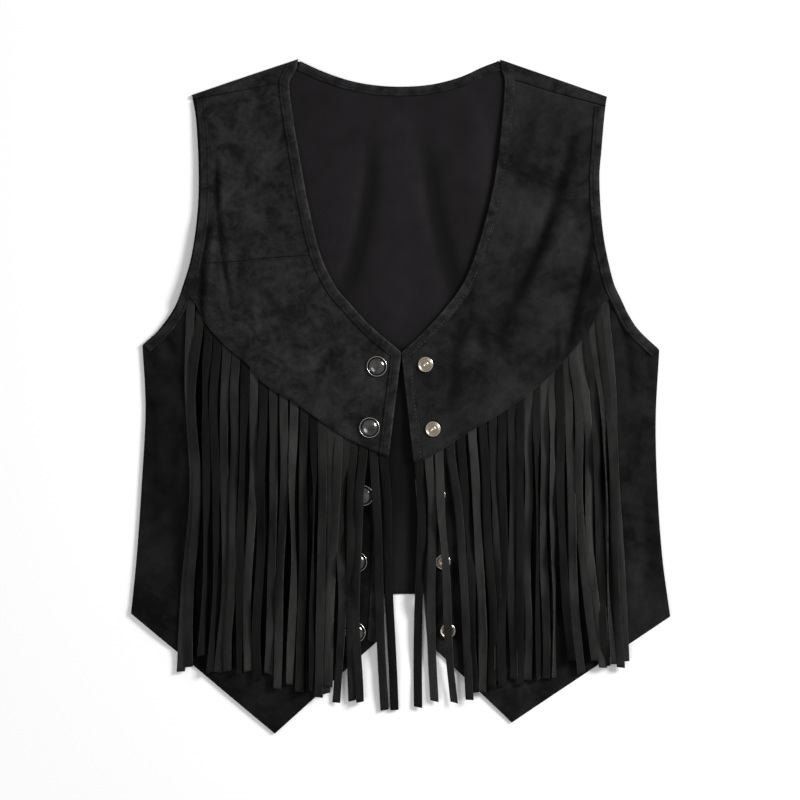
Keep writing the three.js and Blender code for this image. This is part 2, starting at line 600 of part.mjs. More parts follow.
// The front's top face: the yoke's above its seam, the lower front's below it
function frontTop(side) {
  return (x, y) => {
    const onYoke = y > side.yokeHeight(x) - YOKE_EDGE_REACH;
    return (onYoke ? side.yokeUnder(x, y) : side.under(x, y)) + CLOTH;
  };
}

// Fringe
function bandTop(side, y) {
  const start = side.yokeHeight(side.openingX(y)) - BAND_BELOW_YOKE;
  return y < start + EDGE_CLEAR ? SEAM_GAP + TRIM : 0;
}

// The top of whatever lies under a strand at a place
function support(side, x, y) {
  const inFront = side.sign * (x - side.openingX(y)) > -1;
  const { point, opening, side: outer } = side;
  const toOpening = (x - point.x) / (opening.hem.x - point.x);
  const toSide = (x - point.x) / (outer[0].x - point.x);
  const hem = toOpening > 0 ? mix(point.y, opening.hem.y, toOpening) : mix(point.y, outer[0].y, toSide);
  if (inFront && y > hem - EDGE_CLEAR) {
    const onBand = Math.abs(x - side.openingX(y)) < BAND_WIDTH + EDGE_CLEAR;
    const snap = side.snaps.find((s) => Math.hypot(s.x - x, s.y - y) < SNAP_REACH);
    const panel = side.under(x, y) + CLOTH + (onBand ? bandTop(side, y) : 0);
    return snap ? Math.max(panel, snapSeat(side, snap) + CAP_HEIGHT) : panel;
  }
  return y > backHemHeight(x) - EDGE_CLEAR ? CLOTH : 0;
}

function strand(side, row) {
  const half = STRAND_WIDTH / 2;
  const seamLow = Math.min(side.yokeHeight(row.root - half), side.yokeHeight(row.root + half));
  const freeFrom = seamLow - STRAND_FREE;
  const levels = Object.entries(STRAND_LEVELS)
    .filter(([, y]) => y < freeFrom - LEVEL_CLEAR)
    .map(([name, y]) => ({ x: row[name], y }));
  const rootTop = side.yokeHeight(row.root) + STRAND_ROOT;
  const path = new THREE.CatmullRomCurve3([
    new THREE.Vector3(row.root, rootTop, 0), new THREE.Vector3(row.root, freeFrom, 0),
    ...levels.map(({ x, y }) => new THREE.Vector3(x, y, 0)),
    new THREE.Vector3(row.tip, row.end, 0),
  ], false, 'centripetal');
  const across = heightToX(path);
  const ys = [rootTop, freeFrom];
  for (let k = 0; k < STRAND_SEGMENTS - 1; k += 1) {
    ys.push(mix(freeFrom - BAND_BELOW_YOKE, row.end, k / (STRAND_SEGMENTS - 2)));
  }
  const spots = ys.map((y, k) => {
    const x = across(y);
    const fused = k < 2;
    const turn = fused ? 0 : THREE.MathUtils.degToRad(row.turn) * ease((freeFrom - y) / TURN_RUN);
    const tall = half * Math.sin(turn);
    const around = [-half, -half / 2, 0, half / 2, half]
      .flatMap((dx) => [-REACH_ALONG, 0, REACH_ALONG].map((dy) => support(side, x + dx, y + dy)));
    const rest = fused
      ? side.under(x, y) + CLOTH + SEAM_GAP
      : Math.max(...around) + STRAND_CLEAR + row.lift;
    return { x, y, turn, rest: rest + tall + STRAND_THICK / 2 };
  });
  const heights = draped(spots.slice(2).map(({ rest }) => rest), 1);
  const rings = spots.map(({ x, y, turn, rest }, k) => {
    const z = k < 2 ? rest + (BACKING.thick - STRAND_THICK) / 2 : heights[k - 2];
    const wide = [half * Math.cos(turn), half * Math.sin(turn)];
    const thick = [-STRAND_THICK / 2 * Math.sin(turn), STRAND_THICK / 2 * Math.cos(turn)];
    return [[-1, -1], [1, -1], [1, 1], [-1, 1]].map(([a, b]) => [
      x + a * wide[0] + b * thick[0], y, z + a * wide[1] + b * thick[1],
    ]);
  });
  return loft(rings);
}

// Where a path that runs down the vest crosses a height
function heightToX(path) {
  const samples = path.getPoints(PATH_SAMPLES);
  return (y) => {
    const next = Math.max(1, samples.findIndex((p) => p.y <= y));
    const [a, b] = [samples[next - 1], samples[next]];
    return mix(a.x, b.x, THREE.MathUtils.clamp((a.y - y) / Math.max(a.y - b.y, 1e-6), 0, 1));
  };
}

function fringe(side, rows) {
  const backing = slab(2 * YOKE_COLUMNS, 1, (s, t) => {
    const along = mix(BACKING.from, BACKING.to, s);
    const { x, y } = side.raised(mix(BACKING.low, BACKING.high, t))(along);
    const low = side.under(x, y) + CLOTH + SEAM_GAP;
    return { x, y, low, high: low + BACKING.thick };
  });
  return union([backing, ...rows.map((row) => strand(side, row))]);
}

// Snaps, seated on the highest cloth under them
function snapSeat(side, { x, y }) {
  const topAt = frontTop(side);
  const rim = Array.from({ length: RIM_SAMPLES }, (_, i) => (i / RIM_SAMPLES) * 2 * Math.PI);
  return SEAM_GAP + Math.max(topAt(x, y),
    ...rim.map((a) => topAt(x + SNAP_RADIUS * Math.cos(a), y + SNAP_RADIUS * Math.sin(a))));
}

function snap(profile, side, { x, y }) {
  const geometry = new THREE.LatheGeometry(profile.map(({ r, z }) => new THREE.Vector2(r, z)), SNAP_SIDES);
  geometry.rotateX(Math.PI / 2);
  geometry.translate(x, y, snapSeat(side, { x, y }));
  return outward(mergeVertices(geometry.deleteAttribute('normal').deleteAttribute('uv'), 1e-4));
}

// The vest
add('back', backPanel(), inside());
add('yoke_right_upper', yokeRightUpper(), suede());
add('yoke_right_lower', yokeRightLower(), suede());
add('yoke_left', yokeLeft(), suede());
add('front_right', lowerFront(right, ARMHOLE_RIGHT), suede());
add('front_left', lowerFront(left, ARMHOLE_LEFT), suede());

add('back_neck_binding', band(edge(BACK_NECK), {
  width: NECK_BAND_WIDTH, stations: NECK_STATIONS, inward: -1, topAt: () => CLOTH,
  from: NECK_BAND_END, to: 1 - NECK_BAND_END,
}), suede());
const neckRight = edge([...NECK_RIGHT.lower, ...NECK_RIGHT.upper.slice(1)]);
const openingRight = edge([OPENING_RIGHT.yoke, NECK_RIGHT.lower[0]]);
const openingLeft = edge([OPENING_LEFT.yoke, NECK_LEFT[0]]);
const neckBand = { width: BAND_WIDTH, stations: EDGE_STATIONS, from: 0.005, to: 0.99 };
add('neck_binding_right', band(joined(openingRight, neckRight, OPENING_SHARE), {
  ...neckBand, inward: 1, topAt: frontTop(right),
}), suede());
add('neck_binding_left', band(joined(openingLeft, edge(NECK_LEFT), OPENING_SHARE), {
  ...neckBand, inward: -1, topAt: frontTop(left),
}), suede());
const armholeRight = edge([
  ...ARMHOLE_RIGHT.lower, ...ARMHOLE_RIGHT.middle.slice(1), ...ARMHOLE_RIGHT.upper.slice(1)]);
const armholeLeft = edge([...ARMHOLE_LEFT.lower, ...ARMHOLE_LEFT.upper.slice(1)]);
const armholeBand = { width: BAND_WIDTH, stations: EDGE_STATIONS, from: 0.01, to: 0.99 };
add('armhole_binding_right', band(armholeRight, {
  ...armholeBand, inward: -1, topAt: frontTop(right),
}), suede());
add('armhole_binding_left', band(armholeLeft, {
  ...armholeBand, inward: 1, topAt: frontTop(left),
}), suede());
[['front_band_right', right, 1], ['front_band_left', left, -1]].forEach(([name, side, inward]) => {
  const { hem, yoke } = side.opening;
  const to = 1 - BAND_BELOW_YOKE / Math.hypot(yoke.x - hem.x, yoke.y - hem.y);
  add(name, band(edge([hem, yoke]), {
    width: BAND_WIDTH, stations: FRONT_BAND_STATIONS, inward, to, topAt: frontTop(side),
  }), suede());
});

add('fringe_right', fringe(right, STRANDS_RIGHT), suede());
add('fringe_left', fringe(left, STRANDS_LEFT), suede());
CAPS.forEach((place, i) => add(`snap_cap_${i + 1}`, snap(CAP_PROFILE, right, place), gunmetal()));
STUDS.forEach((place, i) => add(`snap_stud_${i + 1}`, snap(STUD_PROFILE, left, place), nickel()));

export default vest;
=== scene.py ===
"""Fringe vest laid flat on its back, fronts up: the cloth, the sewing, the fringe and the snaps.

Sizes are in millimetres and turn into metres where a mesh is made. X runs across the vest, +Y up to
the shoulders and +Z away from the surface it lies on. "right" and "left" are the wearer's, so the
right side has negative X.
"""
import math

import bpy
import numpy as np
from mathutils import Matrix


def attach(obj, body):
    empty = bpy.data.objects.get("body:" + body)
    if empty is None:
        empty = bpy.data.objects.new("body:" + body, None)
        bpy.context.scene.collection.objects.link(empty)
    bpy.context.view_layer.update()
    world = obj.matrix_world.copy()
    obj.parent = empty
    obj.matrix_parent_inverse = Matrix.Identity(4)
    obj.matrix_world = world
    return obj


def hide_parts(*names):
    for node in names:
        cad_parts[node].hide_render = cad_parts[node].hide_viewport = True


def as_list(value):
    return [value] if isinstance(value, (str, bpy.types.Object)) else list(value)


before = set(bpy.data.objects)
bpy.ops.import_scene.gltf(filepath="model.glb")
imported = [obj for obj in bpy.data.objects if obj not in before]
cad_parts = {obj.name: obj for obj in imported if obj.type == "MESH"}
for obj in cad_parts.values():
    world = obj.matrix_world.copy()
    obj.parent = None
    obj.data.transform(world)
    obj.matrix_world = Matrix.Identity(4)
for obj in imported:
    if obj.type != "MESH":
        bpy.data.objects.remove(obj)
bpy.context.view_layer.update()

MM = 0.001

# Cloth and seams
CLOTH = 1.2
SEAM_GAP = 0.3
FRONT_REST = CLOTH + SEAM_GAP
FOLD_RADIUS = (CLOTH + FRONT_REST) / 2
FOLD_LEG = 4
EDGE_ROUND = 0.35
HEM_DROP = 20
HEM_MARGIN = 18
HEM_WIDTH = 6
# Painted shade and highlight, scaling the cloth's colour: in creases, on the back beside the neck, in the gap
# between the fronts, at the armholes and under the fringe
CREASE_PAINTED_SHADING = 0.3
BACK_CREASE_PAINTED_SHADING = 0.95
ARMHOLE_PAINTED_SHADE_FROM = 160
GAP_PAINTED_SHADE_TO = -125
FRINGE_SHADE = 0.35
FRINGE_SHADE_FROM = 48
FRINGE_SHADE_TO = 180
FRINGE_SHADE_END = -232
BACK_CLEAR = 0.15
LOFT = 1.4
LOFT_FROM = -150
LOFT_TO = 240
LOFT_RUN = 40
SIDE_SEAM = 213
SIDE_RUN = 35
WAVES_SUNK = 0.4
BACK_STEP = 4.0

# Bands along the edges
BAND_WIDTH = 8
NECK_BAND_WIDTH = 7.5
NECK_BAND_END = 0.01
BAND_BELOW_YOKE = 14
BAND_TOP = 1.3
BAND_STEP = 2.0
STITCH_IN_BAND = 0.72

# Yoke seam
OVERLAP = 8.5
OVERLAP_RUN = 0.12
BACKING = {"low": 0.5, "high": 8, "thick": 1.1, "from": 0.05, "to": 0.985}
YOKE_STEP = CLOTH + SEAM_GAP + BACKING["thick"] + SEAM_GAP
STEP_FLAT = 18.5
STEP_END = 40
YOKE_EDGE_REACH = 5
YOKE_STITCHES = (1.8, 7.0)
SHOULDER_GAP = 0.39

# Stitches
STITCH_LENGTH = 2.5
STITCH_PITCH = 3.3
STITCH_RADIUS = 0.27
STITCH_SIDES = 6
STITCH_RINGS = ((-1.0, 0.2), (-0.65, 0.8), (0.0, 1.0), (0.65, 0.8), (1.0, 0.2))

# Fringe strands
STRAND_WIDTH = 7.1
STRAND_THICK = 0.9
STRAND_CLEAR = 0.4
STRAND_ROOT = 4
STRAND_FREE = 2
STRAND_STEP = 3.0
STRAND_LEVELS = (("high", 0), ("middle", -87), ("low", -165))
LEVEL_CLEAR = 25
TURN_RUN = 60
EDGE_CLEAR = 2
STRAND_SECTION = (-1.0, -0.9, -0.5, 0.0, 0.5, 0.9, 1.0)
# Tones each strip picks from at random; the left set is higher than the right, painted light that makes the
# fringe lighter on the side the light comes from
STRAND_TONES_RIGHT = (0.38, 0.72, 1.05, 1.5)
STRAND_TONES_LEFT = (0.42, 0.85, 1.4, 2.1)

# Snaps
SNAP_RADIUS = 8.5
SNAP_REACH = 9.5
CAP_HEIGHT = 3.8
SNAP_SIDES = 56
CAPS = ((-20, 24.9), (-26.1, -26.5), (-31.3, -83.6), (-36.8, -139.4), (-38, -198.7))
STUDS = ((20.9, 26.5), (27.1, -27.7), (31.3, -83.2), (35.5, -139.4), (39.7, -197.4))
DOME_PROFILE = (
    (6.9, 0.9), (6.95, 1.3), (6.7, 1.85), (6.1, 2.4), (5.1, 2.92), (3.9, 3.33), (2.6, 3.6), (1.3, 3.74),
    (0, 3.78),
)
# The ring in the gap between the cap's rim and dome, in a near black metal: painted shade in that recess
GROOVE_PROFILE = ((7.85, 1.0), (6.85, 1.0))
RIM_PROFILE = (
    (0, 0.0), (8.2, 0.0), (8.55, 0.3), (8.65, 0.8), (8.5, 1.35), (8.25, 1.6), (8.0, 1.6), (7.85, 1.3),
    (7.8, 0.8), (0, 0.8),
)
STUD_PROFILE = (
    (0, 0.0), (6.2, 0.0), (6.55, 0.3), (6.6, 0.8), (6.35, 1.35), (5.9, 1.7), (5.4, 1.75), (5.0, 1.5),
    (4.8, 1.1), (4.7, 0.95),
)
# The stud's recessed floor, in the darker nickel that paints shade there
STUD_FLOOR = ((4.7, 0.95), (4.3, 0.8), (3.2, 0.75), (2.5, 0.85))
POST_PROFILE = (
    (2.5, 0.85), (2.3, 1.3), (2.35, 2.3), (2.2, 2.8), (1.8, 3.05), (1.2, 3.05), (0.95, 2.8),
    (0.8, 2.2), (0, 2.1),
)

# Edges of the back, from the hem up
BACK_HEM = (
    (-227, -183), (-150, -174), (-60, -168), (2, -166.8), (60, -168.5), (150, -175.5), (226.8, -185.5),
)
SIDE_RIGHT = ((-227, -183), (-222.4, -137), (-218.2, -77), (-214.8, -10), (-217.4, 42.5))
SIDE_LEFT = ((226.8, -185.5), (220.3, -137), (216, -77), (214.6, -20), (217.6, 38.6))
BACK_ARMHOLE_RIGHT = (
    (-217.4, 42.5), (-204.8, 54.6), (-190.5, 74.8), (-182.9, 95), (-177, 115), (-171.2, 155),
    (-170.3, 190), (-172.8, 236),
)
BACK_ARMHOLE_LEFT = (
    (217.6, 38.6), (201, 54.6), (188.4, 74.8), (179.1, 95), (170.7, 135), (167.4, 185), (169, 206),
    (171.6, 236),
)
BACK_NECK = (
    (-86.3, 282.2), (-67.1, 273.3), (-43, 265), (-18.9, 260.8), (5.1, 260), (27.6, 262),
    (51.7, 268.5), (69.3, 276.5), (83.5, 281.9),
)

# Shoulders, from the neck outwards
SHOULDER_RIGHT = {
    "fold": ((-86.3, 283.7), (-131, 268.8), (-176.4, 253.3)),
    "seam": ((-94.1, 264.6), (-133, 257.5), (-174.2, 250.2)),
}
SHOULDER_LEFT = {
    "fold": ((83.5, 283.4), (128, 268), (173.5, 252.1)),
    "seam": ((87.8, 268.5), (124, 257.3), (172.2, 244)),
}

# Edges of the fronts, from the bottom up
ARMHOLE_RIGHT = {
    "lower": ((-217.2, 42.3), (-203.2, 54.6), (-194.6, 64.7), (-188.6, 74.8), (-183.3, 88)),
    "middle": ((-183.3, 88), (-180.6, 95), (-176, 111)),
    "upper": (
        (-176, 111.3), (-171.7, 135), (-169.2, 155), (-168.3, 190), (-169.2, 216), (-172.6, 249.6),
    ),
}
ARMHOLE_LEFT = {
    "lower": ((217.4, 38.4), (200, 54.6), (192.4, 64.7), (187.4, 74.8), (181.8, 86)),
    "upper": ((181.8, 86), (178, 95), (169.7, 135), (166.4, 185), (168, 206), (171, 243.6)),
}
NECK_RIGHT = {
    "lower": ((0, 36.5), (-26.9, 59.6), (-44.6, 79), (-54.2, 90), (-67.7, 117.8)),
    "upper": ((-67.8, 118.1), (-77.6, 157.6), (-84.8, 196.2), (-91.2, 234.8), (-94.1, 264.2)),
}
NECK_LEFT = (
    (1.1, 36.5), (13.1, 47), (35.6, 70.8), (53.3, 94.9), (66.1, 127.1), (79, 178.5), (85.4, 226.8),
    (87.8, 268.1),
)
# The neck bindings run on over the shoulder strips to the high shoulder points
OVER_SHOULDER_RIGHT = ((-89.6, 273.2), (-87.6, 277.6), (-87.9, 280.9))
OVER_SHOULDER_LEFT = ((85.6, 274), (84.7, 278), (84.9, 280.4))
NECK_HALVES = [x for x, _ in NECK_LEFT]
NECK_HEIGHTS = [y for _, y in NECK_LEFT]
OPENING_RIGHT = {"yoke": (-10.7, -51.2), "hem": (-20.5, -207.1)}
OPENING_LEFT = {"yoke": (11.5, -56), "hem": (22.9, -207.5)}
CROSS_SEAM = ((-176, 111), (-147.2, 112.1), (-95.6, 116.9), (-67.7, 117.8))
YOKE_SEAM_RIGHT = (
    (-183.3, 88), (-174, 80), (-166, 64), (-149.3, 44.2), (-127.6, 25.4), (-117.5, 12.3), (-85, -8.6),
    (-46.2, -35), (-10.7, -51.2),
)
YOKE_SEAM_LEFT = (
    (181.8, 86), (169.5, 77), (158.6, 56.5), (140.9, 34), (117.6, 9.9), (87.1, -12.6), (54.9, -31.8),
    (26, -50.3), (11.5, -56),
)
POINT_RIGHT = (-106, -284.3)
POINT_LEFT = (93.5, -275)

# The cloth's largest folds, as in the solids: x and y at both ends, half width and height
FOLDS_RIGHT = (
    (-130, 220, -120, 95, 26, 2.2),
    (-88, 95, -48, 10, 28, 1.6),
    (-205, 5, -200, -90, 18, 1.2),
)
FOLDS_LEFT = (
    (112, 215, 92, 120, 24, 2.0),
    (130, 160, 115, 60, 22, 2.2),
    (76, 82, 70, 30, 20, 1.4),
    (200, -10, 198, -80, 18, 1.0),
)

# Creases: x and y at both ends, sideways bow, half width and height (a trough is below 0)
CREASES_RIGHT = (
    (-155.2, 200, -144, 82, -3, 2.0, -2.8),
    (-149, 200, -138, 94, -3, 5, 1.0),
    (-159, 152, -167, 56, -3.8, 2.3, -3.2),
    (-154, 150, -160, 70, -2.5, 3.2, 1.3),
    (-178, 78, -170, 52, 1, 2.2, -1.5),
    (-183, 70, -177, 50, 1, 2.4, 0.8),
    (-200, 57, -188, 34, -1.5, 2.4, -1.5),
    (-206, 50, -199, 18, 2, 3.6, 0.9),
    (-211, 44, -206, 22, 1, 2.2, -1.0),
    (-112, 186, -100, 130, -4, 6, -1.1),
    (-122, 94, -86, 28, 6, 5.5, -1.5),
    (-104, 84, -72, 20, 4, 6, 0.8),
    (-62, 64, -44, -4, -4, 6.5, -1.2),
    (-213, 8, -207, -120, 3, 5, -1.2),
    (-200, -110, -206, -178, -3, 7, 1.1),
    (-190, -20, -186, -150, -2, 6, -1.6),
    (-118, -254, -88, -228, 2, 6, 0.9),
)
CREASES_LEFT = (
    (147, 228, 92, 68, 6, 5, -2.4),
    (136, 222, 108, 130, 4, 6, 1.1),
    (157, 196, 118, 104, 6, 6, 0.9),
    (158.5, 128, 138, 32, 2, 3.6, -2.6),
    (148, 112, 126, 50, 2, 5, 0.9),
    (50, 60, 42, -20, -2, 5, -1.7),
    (62, 66, 56, -8, -2, 6, 0.8),
    (130, 62, 131, 30, 0.8, 2.0, -1.3),
    (134, 60, 135, 34, 0.8, 2.0, 0.7),
    (182, 70, 194, -8, 4, 3.2, -1.7),
    (188, 68, 205, 6, 4, 4.5, 0.9),
    (205, 46, 210, 10, 1, 2.6, -1.0),
    (110, 116, 84, 40, -5, 6, -1.4),
    (112, 250, 100, 190, 2, 6, -0.9),
    (208, -50, 214, -164, -3, 6, -1.2),
    (196, -90, 200, -170, 3, 7, 0.9),
    (74, -246, 112, -240, -2, 7, 0.9),
)
CREASES_BACK = (
    (-24, 212, -46, 84, 4, 8, -1.1),
    (-36, 214, -58, 96, 4, 9, 1.0),
    (22, 208, 50, 80, -4, 8, -1.2),
    (10, 200, 30, 70, -4, 10, 1.1),
    (-2, 236, -6, 60, 3, 12, 0.8),
    (62, 240, 68, 160, 2, 8, 0.8),
)

# Strands, from the armhole to the opening: x at the yoke seam and at each level, tip and its
# height on the vest, turn of the strip about its length in degrees, and lift over its neighbours
STRAND_COLUMNS = ("root", "high", "middle", "low", "tip", "end", "turn", "lift")
STRANDS_RIGHT = (
    (-176.5, -177.5, -174, -181, -185.4, -231.8, 0, 0),
    (-169, -175, -171, -176.8, -177.5, -227.5, 0, 1.6),
    (-161.5, -164.4, -161.9, -164.5, -168.5, -217.6, 50, 0),
    (-154, -157, -155, -155.6, -160.5, -232, 40, 0),
    (-146.3, -147.8, -146.9, -148.2, -152.8, -232.3, 0, 0),
    (-138.5, -140, -139.5, -143, -145, -231, 0, 1.6),
    (-131, -131.5, -132.6, -135.8, -136.7, -233.5, 40, 0),
    (-123.3, -123.6, -124.8, -128, -128, -231, 0, 0),
    (-115.3, -115.3, -116.7, -119.9, -119.9, -239.4, 0, 1.6),
    (-107.2, -107, -106, -109.3, -111.5, -233.5, 0, 0),
    (-98.3, -98.3, -98.3, -100.6, -104.5, -245.3, 0, 1.6),
    (-89.5, -89.5, -91, -90, -93.5, -242, 45, 0),
    (-81, -81, -82, -83, -84.6, -248.6, 0, 0),
    (-73.2, -73.2, -72, -73.6, -76.8, -247, 70, 0),
    (-66, -66, -66, -66.5, -69.5, -252.8, 0, 1.6),
    (-58.8, -58.8, -59.5, -60, -63, -250, 0, 0),
    (-52, -52, -54.4, -58.5, -61, -244, 0, 1.6),
    (-46, -46, -50, -49.6, -53.6, -257.9, 0, 0),
    (-39.7, -39.7, -42, -41.5, -41, -256.2, 0, 0),
    (-31.3, -31.3, -34.6, -37.4, -35, -257, 0, 1.6),
    (-22.7, -22.7, -20.5, -18, -13.7, -264.2, 0, 0),
    (-14.5, -14.5, -11.3, -9.9, -5.5, -264.2, 0, 0),
)
STRANDS_LEFT = (
    (171.5, 177.5, 181.5, 185, 189, -223, 0, 0),
    (167, 173.8, 178.3, 181, 184.3, -228, 0, 1.6),
    (161.5, 168.5, 172.2, 174.5, 178.3, -225, 65, 0),
    (156, 162.5, 165.5, 168, 172.5, -226.8, 0, 1.6),
    (150.2, 155.5, 157.8, 162, 169.5, -228, 0, 0),
    (144.5, 148.3, 149.9, 155.3, 164, -222, 0, 1.6),
    (139, 141, 142.2, 146.5, 151, -232.7, 0, 0),
    (133.3, 133.8, 134.2, 137.5, 144.5, -221.8, 0, 1.6),
    (127.2, 127.2, 127.3, 129, 128.2, -236, 55, 0),
    (120.6, 120.6, 120, 121.5, 121.3, -237, 0, 0),
    (114.2, 114.2, 113.8, 115, 115.2, -237.7, 65, 0),
    (107.6, 107.6, 106.7, 106.3, 106.5, -238.6, 0, 0),
    (100.4, 100.4, 100.3, 99.8, 100.2, -242.8, 0, 1.6),
    (93, 93, 94, 93.9, 93.9, -237.7, 0, 0),
    (85.2, 85.2, 85.3, 85.3, 85.5, -243.2, 0, 1.6),
    (77.2, 77.2, 79, 81.5, 82, -239, 0, 0),
    (69, 69, 72.5, 75.8, 77.1, -244.4, 0, 1.6),
    (60, 60, 64.2, 67, 68.8, -248.6, 0, 1.6),
    (50.8, 50.8, 54.8, 59.4, 61.5, -249, 0, 0),
    (41.8, 41.8, 47.3, 54, 57.3, -255, 0, 1.6),
    (32.2, 32.2, 33.8, 38, 44.7, -257.5, 0, 1.6),
    (23.6, 23.6, 26.3, 25.2, 28.3, -256.6, 0, 0),
    (15.4, 15.4, 17.6, 15.1, 14.5, -261.7, 0, 0),
)


# Small sums
def ease(t):
    t = np.clip(t, 0, 1)
    return t * t * (3 - 2 * t)


def span(a, b, c, d, count=40):
    """The part from b to c of a centripetal Catmull-Rom curve."""
    da, db, dc = (max(math.sqrt(np.hypot(*v)), 1e-4) for v in (b - a, c - b, d - c))
    leave = ((b - a) / da - (c - a) / (da + db) + (c - b) / db) * db
    reach = ((c - b) / db - (d - b) / (db + dc) + (d - c) / dc) * db
    u = np.linspace(0, 1, count, endpoint=False)[:, None]
    return (b * (2 * u**3 - 3 * u**2 + 1) + leave * (u**3 - 2 * u**2 + u)
            + c * (3 * u**2 - 2 * u**3) + reach * (u**3 - u**2))


def edge(rows):
    """A smooth curve through the rows: it takes shares of its length and gives points."""
    p = np.array(rows, float)
    ends = np.vstack([2 * p[0] - p[1], p, 2 * p[-1] - p[-2]])
    dense = np.vstack([span(*ends[k:k + 4]) for k in range(len(p) - 1)] + [p[-1:]])
    run = np.concatenate([[0], np.cumsum(np.hypot(*np.diff(dense, axis=0).T))])

    def at(t):
        places = np.clip(t, 0, 1) * run[-1]
        return np.stack([np.interp(places, run, dense[:, k]) for k in (0, 1)], axis=-1)
    return at


def backwards(curve):
    return lambda t: curve(1 - np.asarray(t))


def joined(first, second, share):
    def at(t):
        t = np.asarray(t, float)
        return np.where((t < share)[..., None], first(t / share), second((t - share) / (1 - share)))
    return at


def moved(curve, dx, dy):
    return lambda t: curve(t) + np.array([dx, dy])


def length_of(curve):
    return np.hypot(*np.diff(curve(np.linspace(0, 1, 200)), axis=0).T).sum()


def normals(points):
    """The unit normal to the left of a line of points, at each of them."""
    along = np.gradient(points, axis=0)
    along /= np.maximum(np.hypot(*along.T), 1e-9)[:, None]
    return np.stack([-along[:, 1], along[:, 0]], axis=1)


def height_over(curve):
    """The curve's y over x, level past its ends."""
    points = curve(np.linspace(0, 1, 300))
    points = points[np.argsort(points[:, 0])]
    return lambda x: np.interp(x, points[:, 0], points[:, 1])


def patch(left, right, bottom, top):
    """A surface spanned by four edges: left and right run up, bottom and top run across."""
    low_a, low_b, high_a, high_b = bottom(0.0), bottom(1.0), top(0.0), top(1.0)

    def at(s, t):
        across, up = s[..., None], t[..., None]
        lower, upper = low_a + (low_b - low_a) * across, high_a + (high_b - high_a) * across
        return (bottom(s) * (1 - up) + top(s) * up + left(t) * (1 - across) + right(t) * across
                - lower * (1 - up) - upper * up)
    return at


def draped(values, reach):
    """Running highest value, then running mean, so the line never dips below the values."""
    padded = np.pad(values, reach, mode="edge")
    windows = np.lib.stride_tricks.sliding_window_view(padded, 2 * reach + 1)
    highest = np.pad(windows.max(axis=1), reach, mode="edge")
    return np.lib.stride_tricks.sliding_window_view(highest, 2 * reach + 1).mean(axis=1)


# Meshes
def make(name, parts, materials):
    """One object from several meshes, each a list of points and faces with a material's number."""
    points, faces, marks, tones = [], [], [], []
    count = 0
    for part in parts:
        points.append(part["points"])
        tones.append(np.broadcast_to(part.get("tone", 1.0), len(part["points"])))
        faces.extend([tuple(i + count for i in face) for face in part["faces"]])
        marks.extend(part.get("marks") or [part.get("material", 0)] * len(part["faces"]))
        count += len(part["points"])
    mesh = bpy.data.meshes.new(name)
    mesh.from_pydata((np.vstack(points) * MM).tolist(), [], faces)
    for material in materials:
        mesh.materials.append(material)
    mesh.polygons.foreach_set("material_index", marks)
    mesh.polygons.foreach_set("use_smooth", [True] * len(faces))
    mesh.attributes.new("tone", "FLOAT", "POINT").data.foreach_set("value", np.concatenate(tones))
    mesh.update()
    piece = bpy.data.objects.new(name, mesh)
    bpy.context.scene.collection.objects.link(piece)
    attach(piece, "root")
    return piece


def sheet_part(x, y, low, high, top=0, under=0, rim=0, tone=None):
    """A closed cloth shell over a grid, with a rounded edge. Its tone scales the nap's colour, to paint shade
    and highlight.
    """
    rows, columns = x.shape
    count = rows * columns
    index = np.arange(count).reshape(rows, columns)
    ring = np.concatenate([index[0, :-1], index[:-1, -1], index[-1, :0:-1], index[:0:-1, 0]])
    flat = np.stack([x.ravel(), y.ravel()], axis=1)
    outline = flat[ring]
    along = np.roll(outline, -1, axis=0) - np.roll(outline, 1, axis=0)
    along /= np.maximum(np.hypot(*along.T), 1e-9)[:, None]
    flat[ring] += EDGE_ROUND * np.stack([-along[:, 1], along[:, 0]], axis=1)
    middle = (low.ravel() + high.ravel())[ring] / 2
    points = np.vstack([
        np.column_stack([flat, low.ravel()]), np.column_stack([flat, high.ravel()]),
        np.column_stack([outline, middle]),
    ])
    a, b, c, d = index[:-1, :-1], index[:-1, 1:], index[1:, 1:], index[1:, :-1]
    upper = np.stack([a, b, c, d], axis=-1).reshape(-1, 4)
    around = np.arange(len(ring))
    after = np.roll(around, -1)
    edge_low = np.stack([ring, ring[after], 2 * count + after, 2 * count + around], axis=1)
    edge_high = np.stack([2 * count + around, 2 * count + after, count + ring[after], count + ring], axis=1)
    faces = np.vstack([upper[:, ::-1], upper + count, edge_low, edge_high]).tolist()
    marks = [under] * len(upper) + [top] * len(upper) + [rim] * (2 * len(ring))
    flat_tone = np.ones(count) if tone is None else tone.ravel()
    tones = np.concatenate([flat_tone, flat_tone, flat_tone[ring]])
    return {"points": points, "faces": faces, "marks": marks, "tone": tones}


def tube_part(rings, material=0, marks=None, tone=1.0):
    """Joins rings of points, all with the same count, and closes both ends."""
    rings = np.asarray(rings)
    steps, size = rings.shape[:2]
    faces = []
    for k in range(steps - 1):
        for i in range(size):
            a, b = k * size + i, k * size + (i + 1) % size
            faces.append((a, b, b + size, a + size))
    last = (steps - 1) * size
    faces.append(tuple(reversed(range(size))))
    faces.append(tuple(last + i for i in range(size)))
    if marks is None:
        colours = [material] * len(faces)
    else:
        colours = list(marks) * (steps - 1) + [material, material]
    return {"points": rings.reshape(-1, 3), "faces": faces, "marks": colours, "tone": np.ravel(tone)}


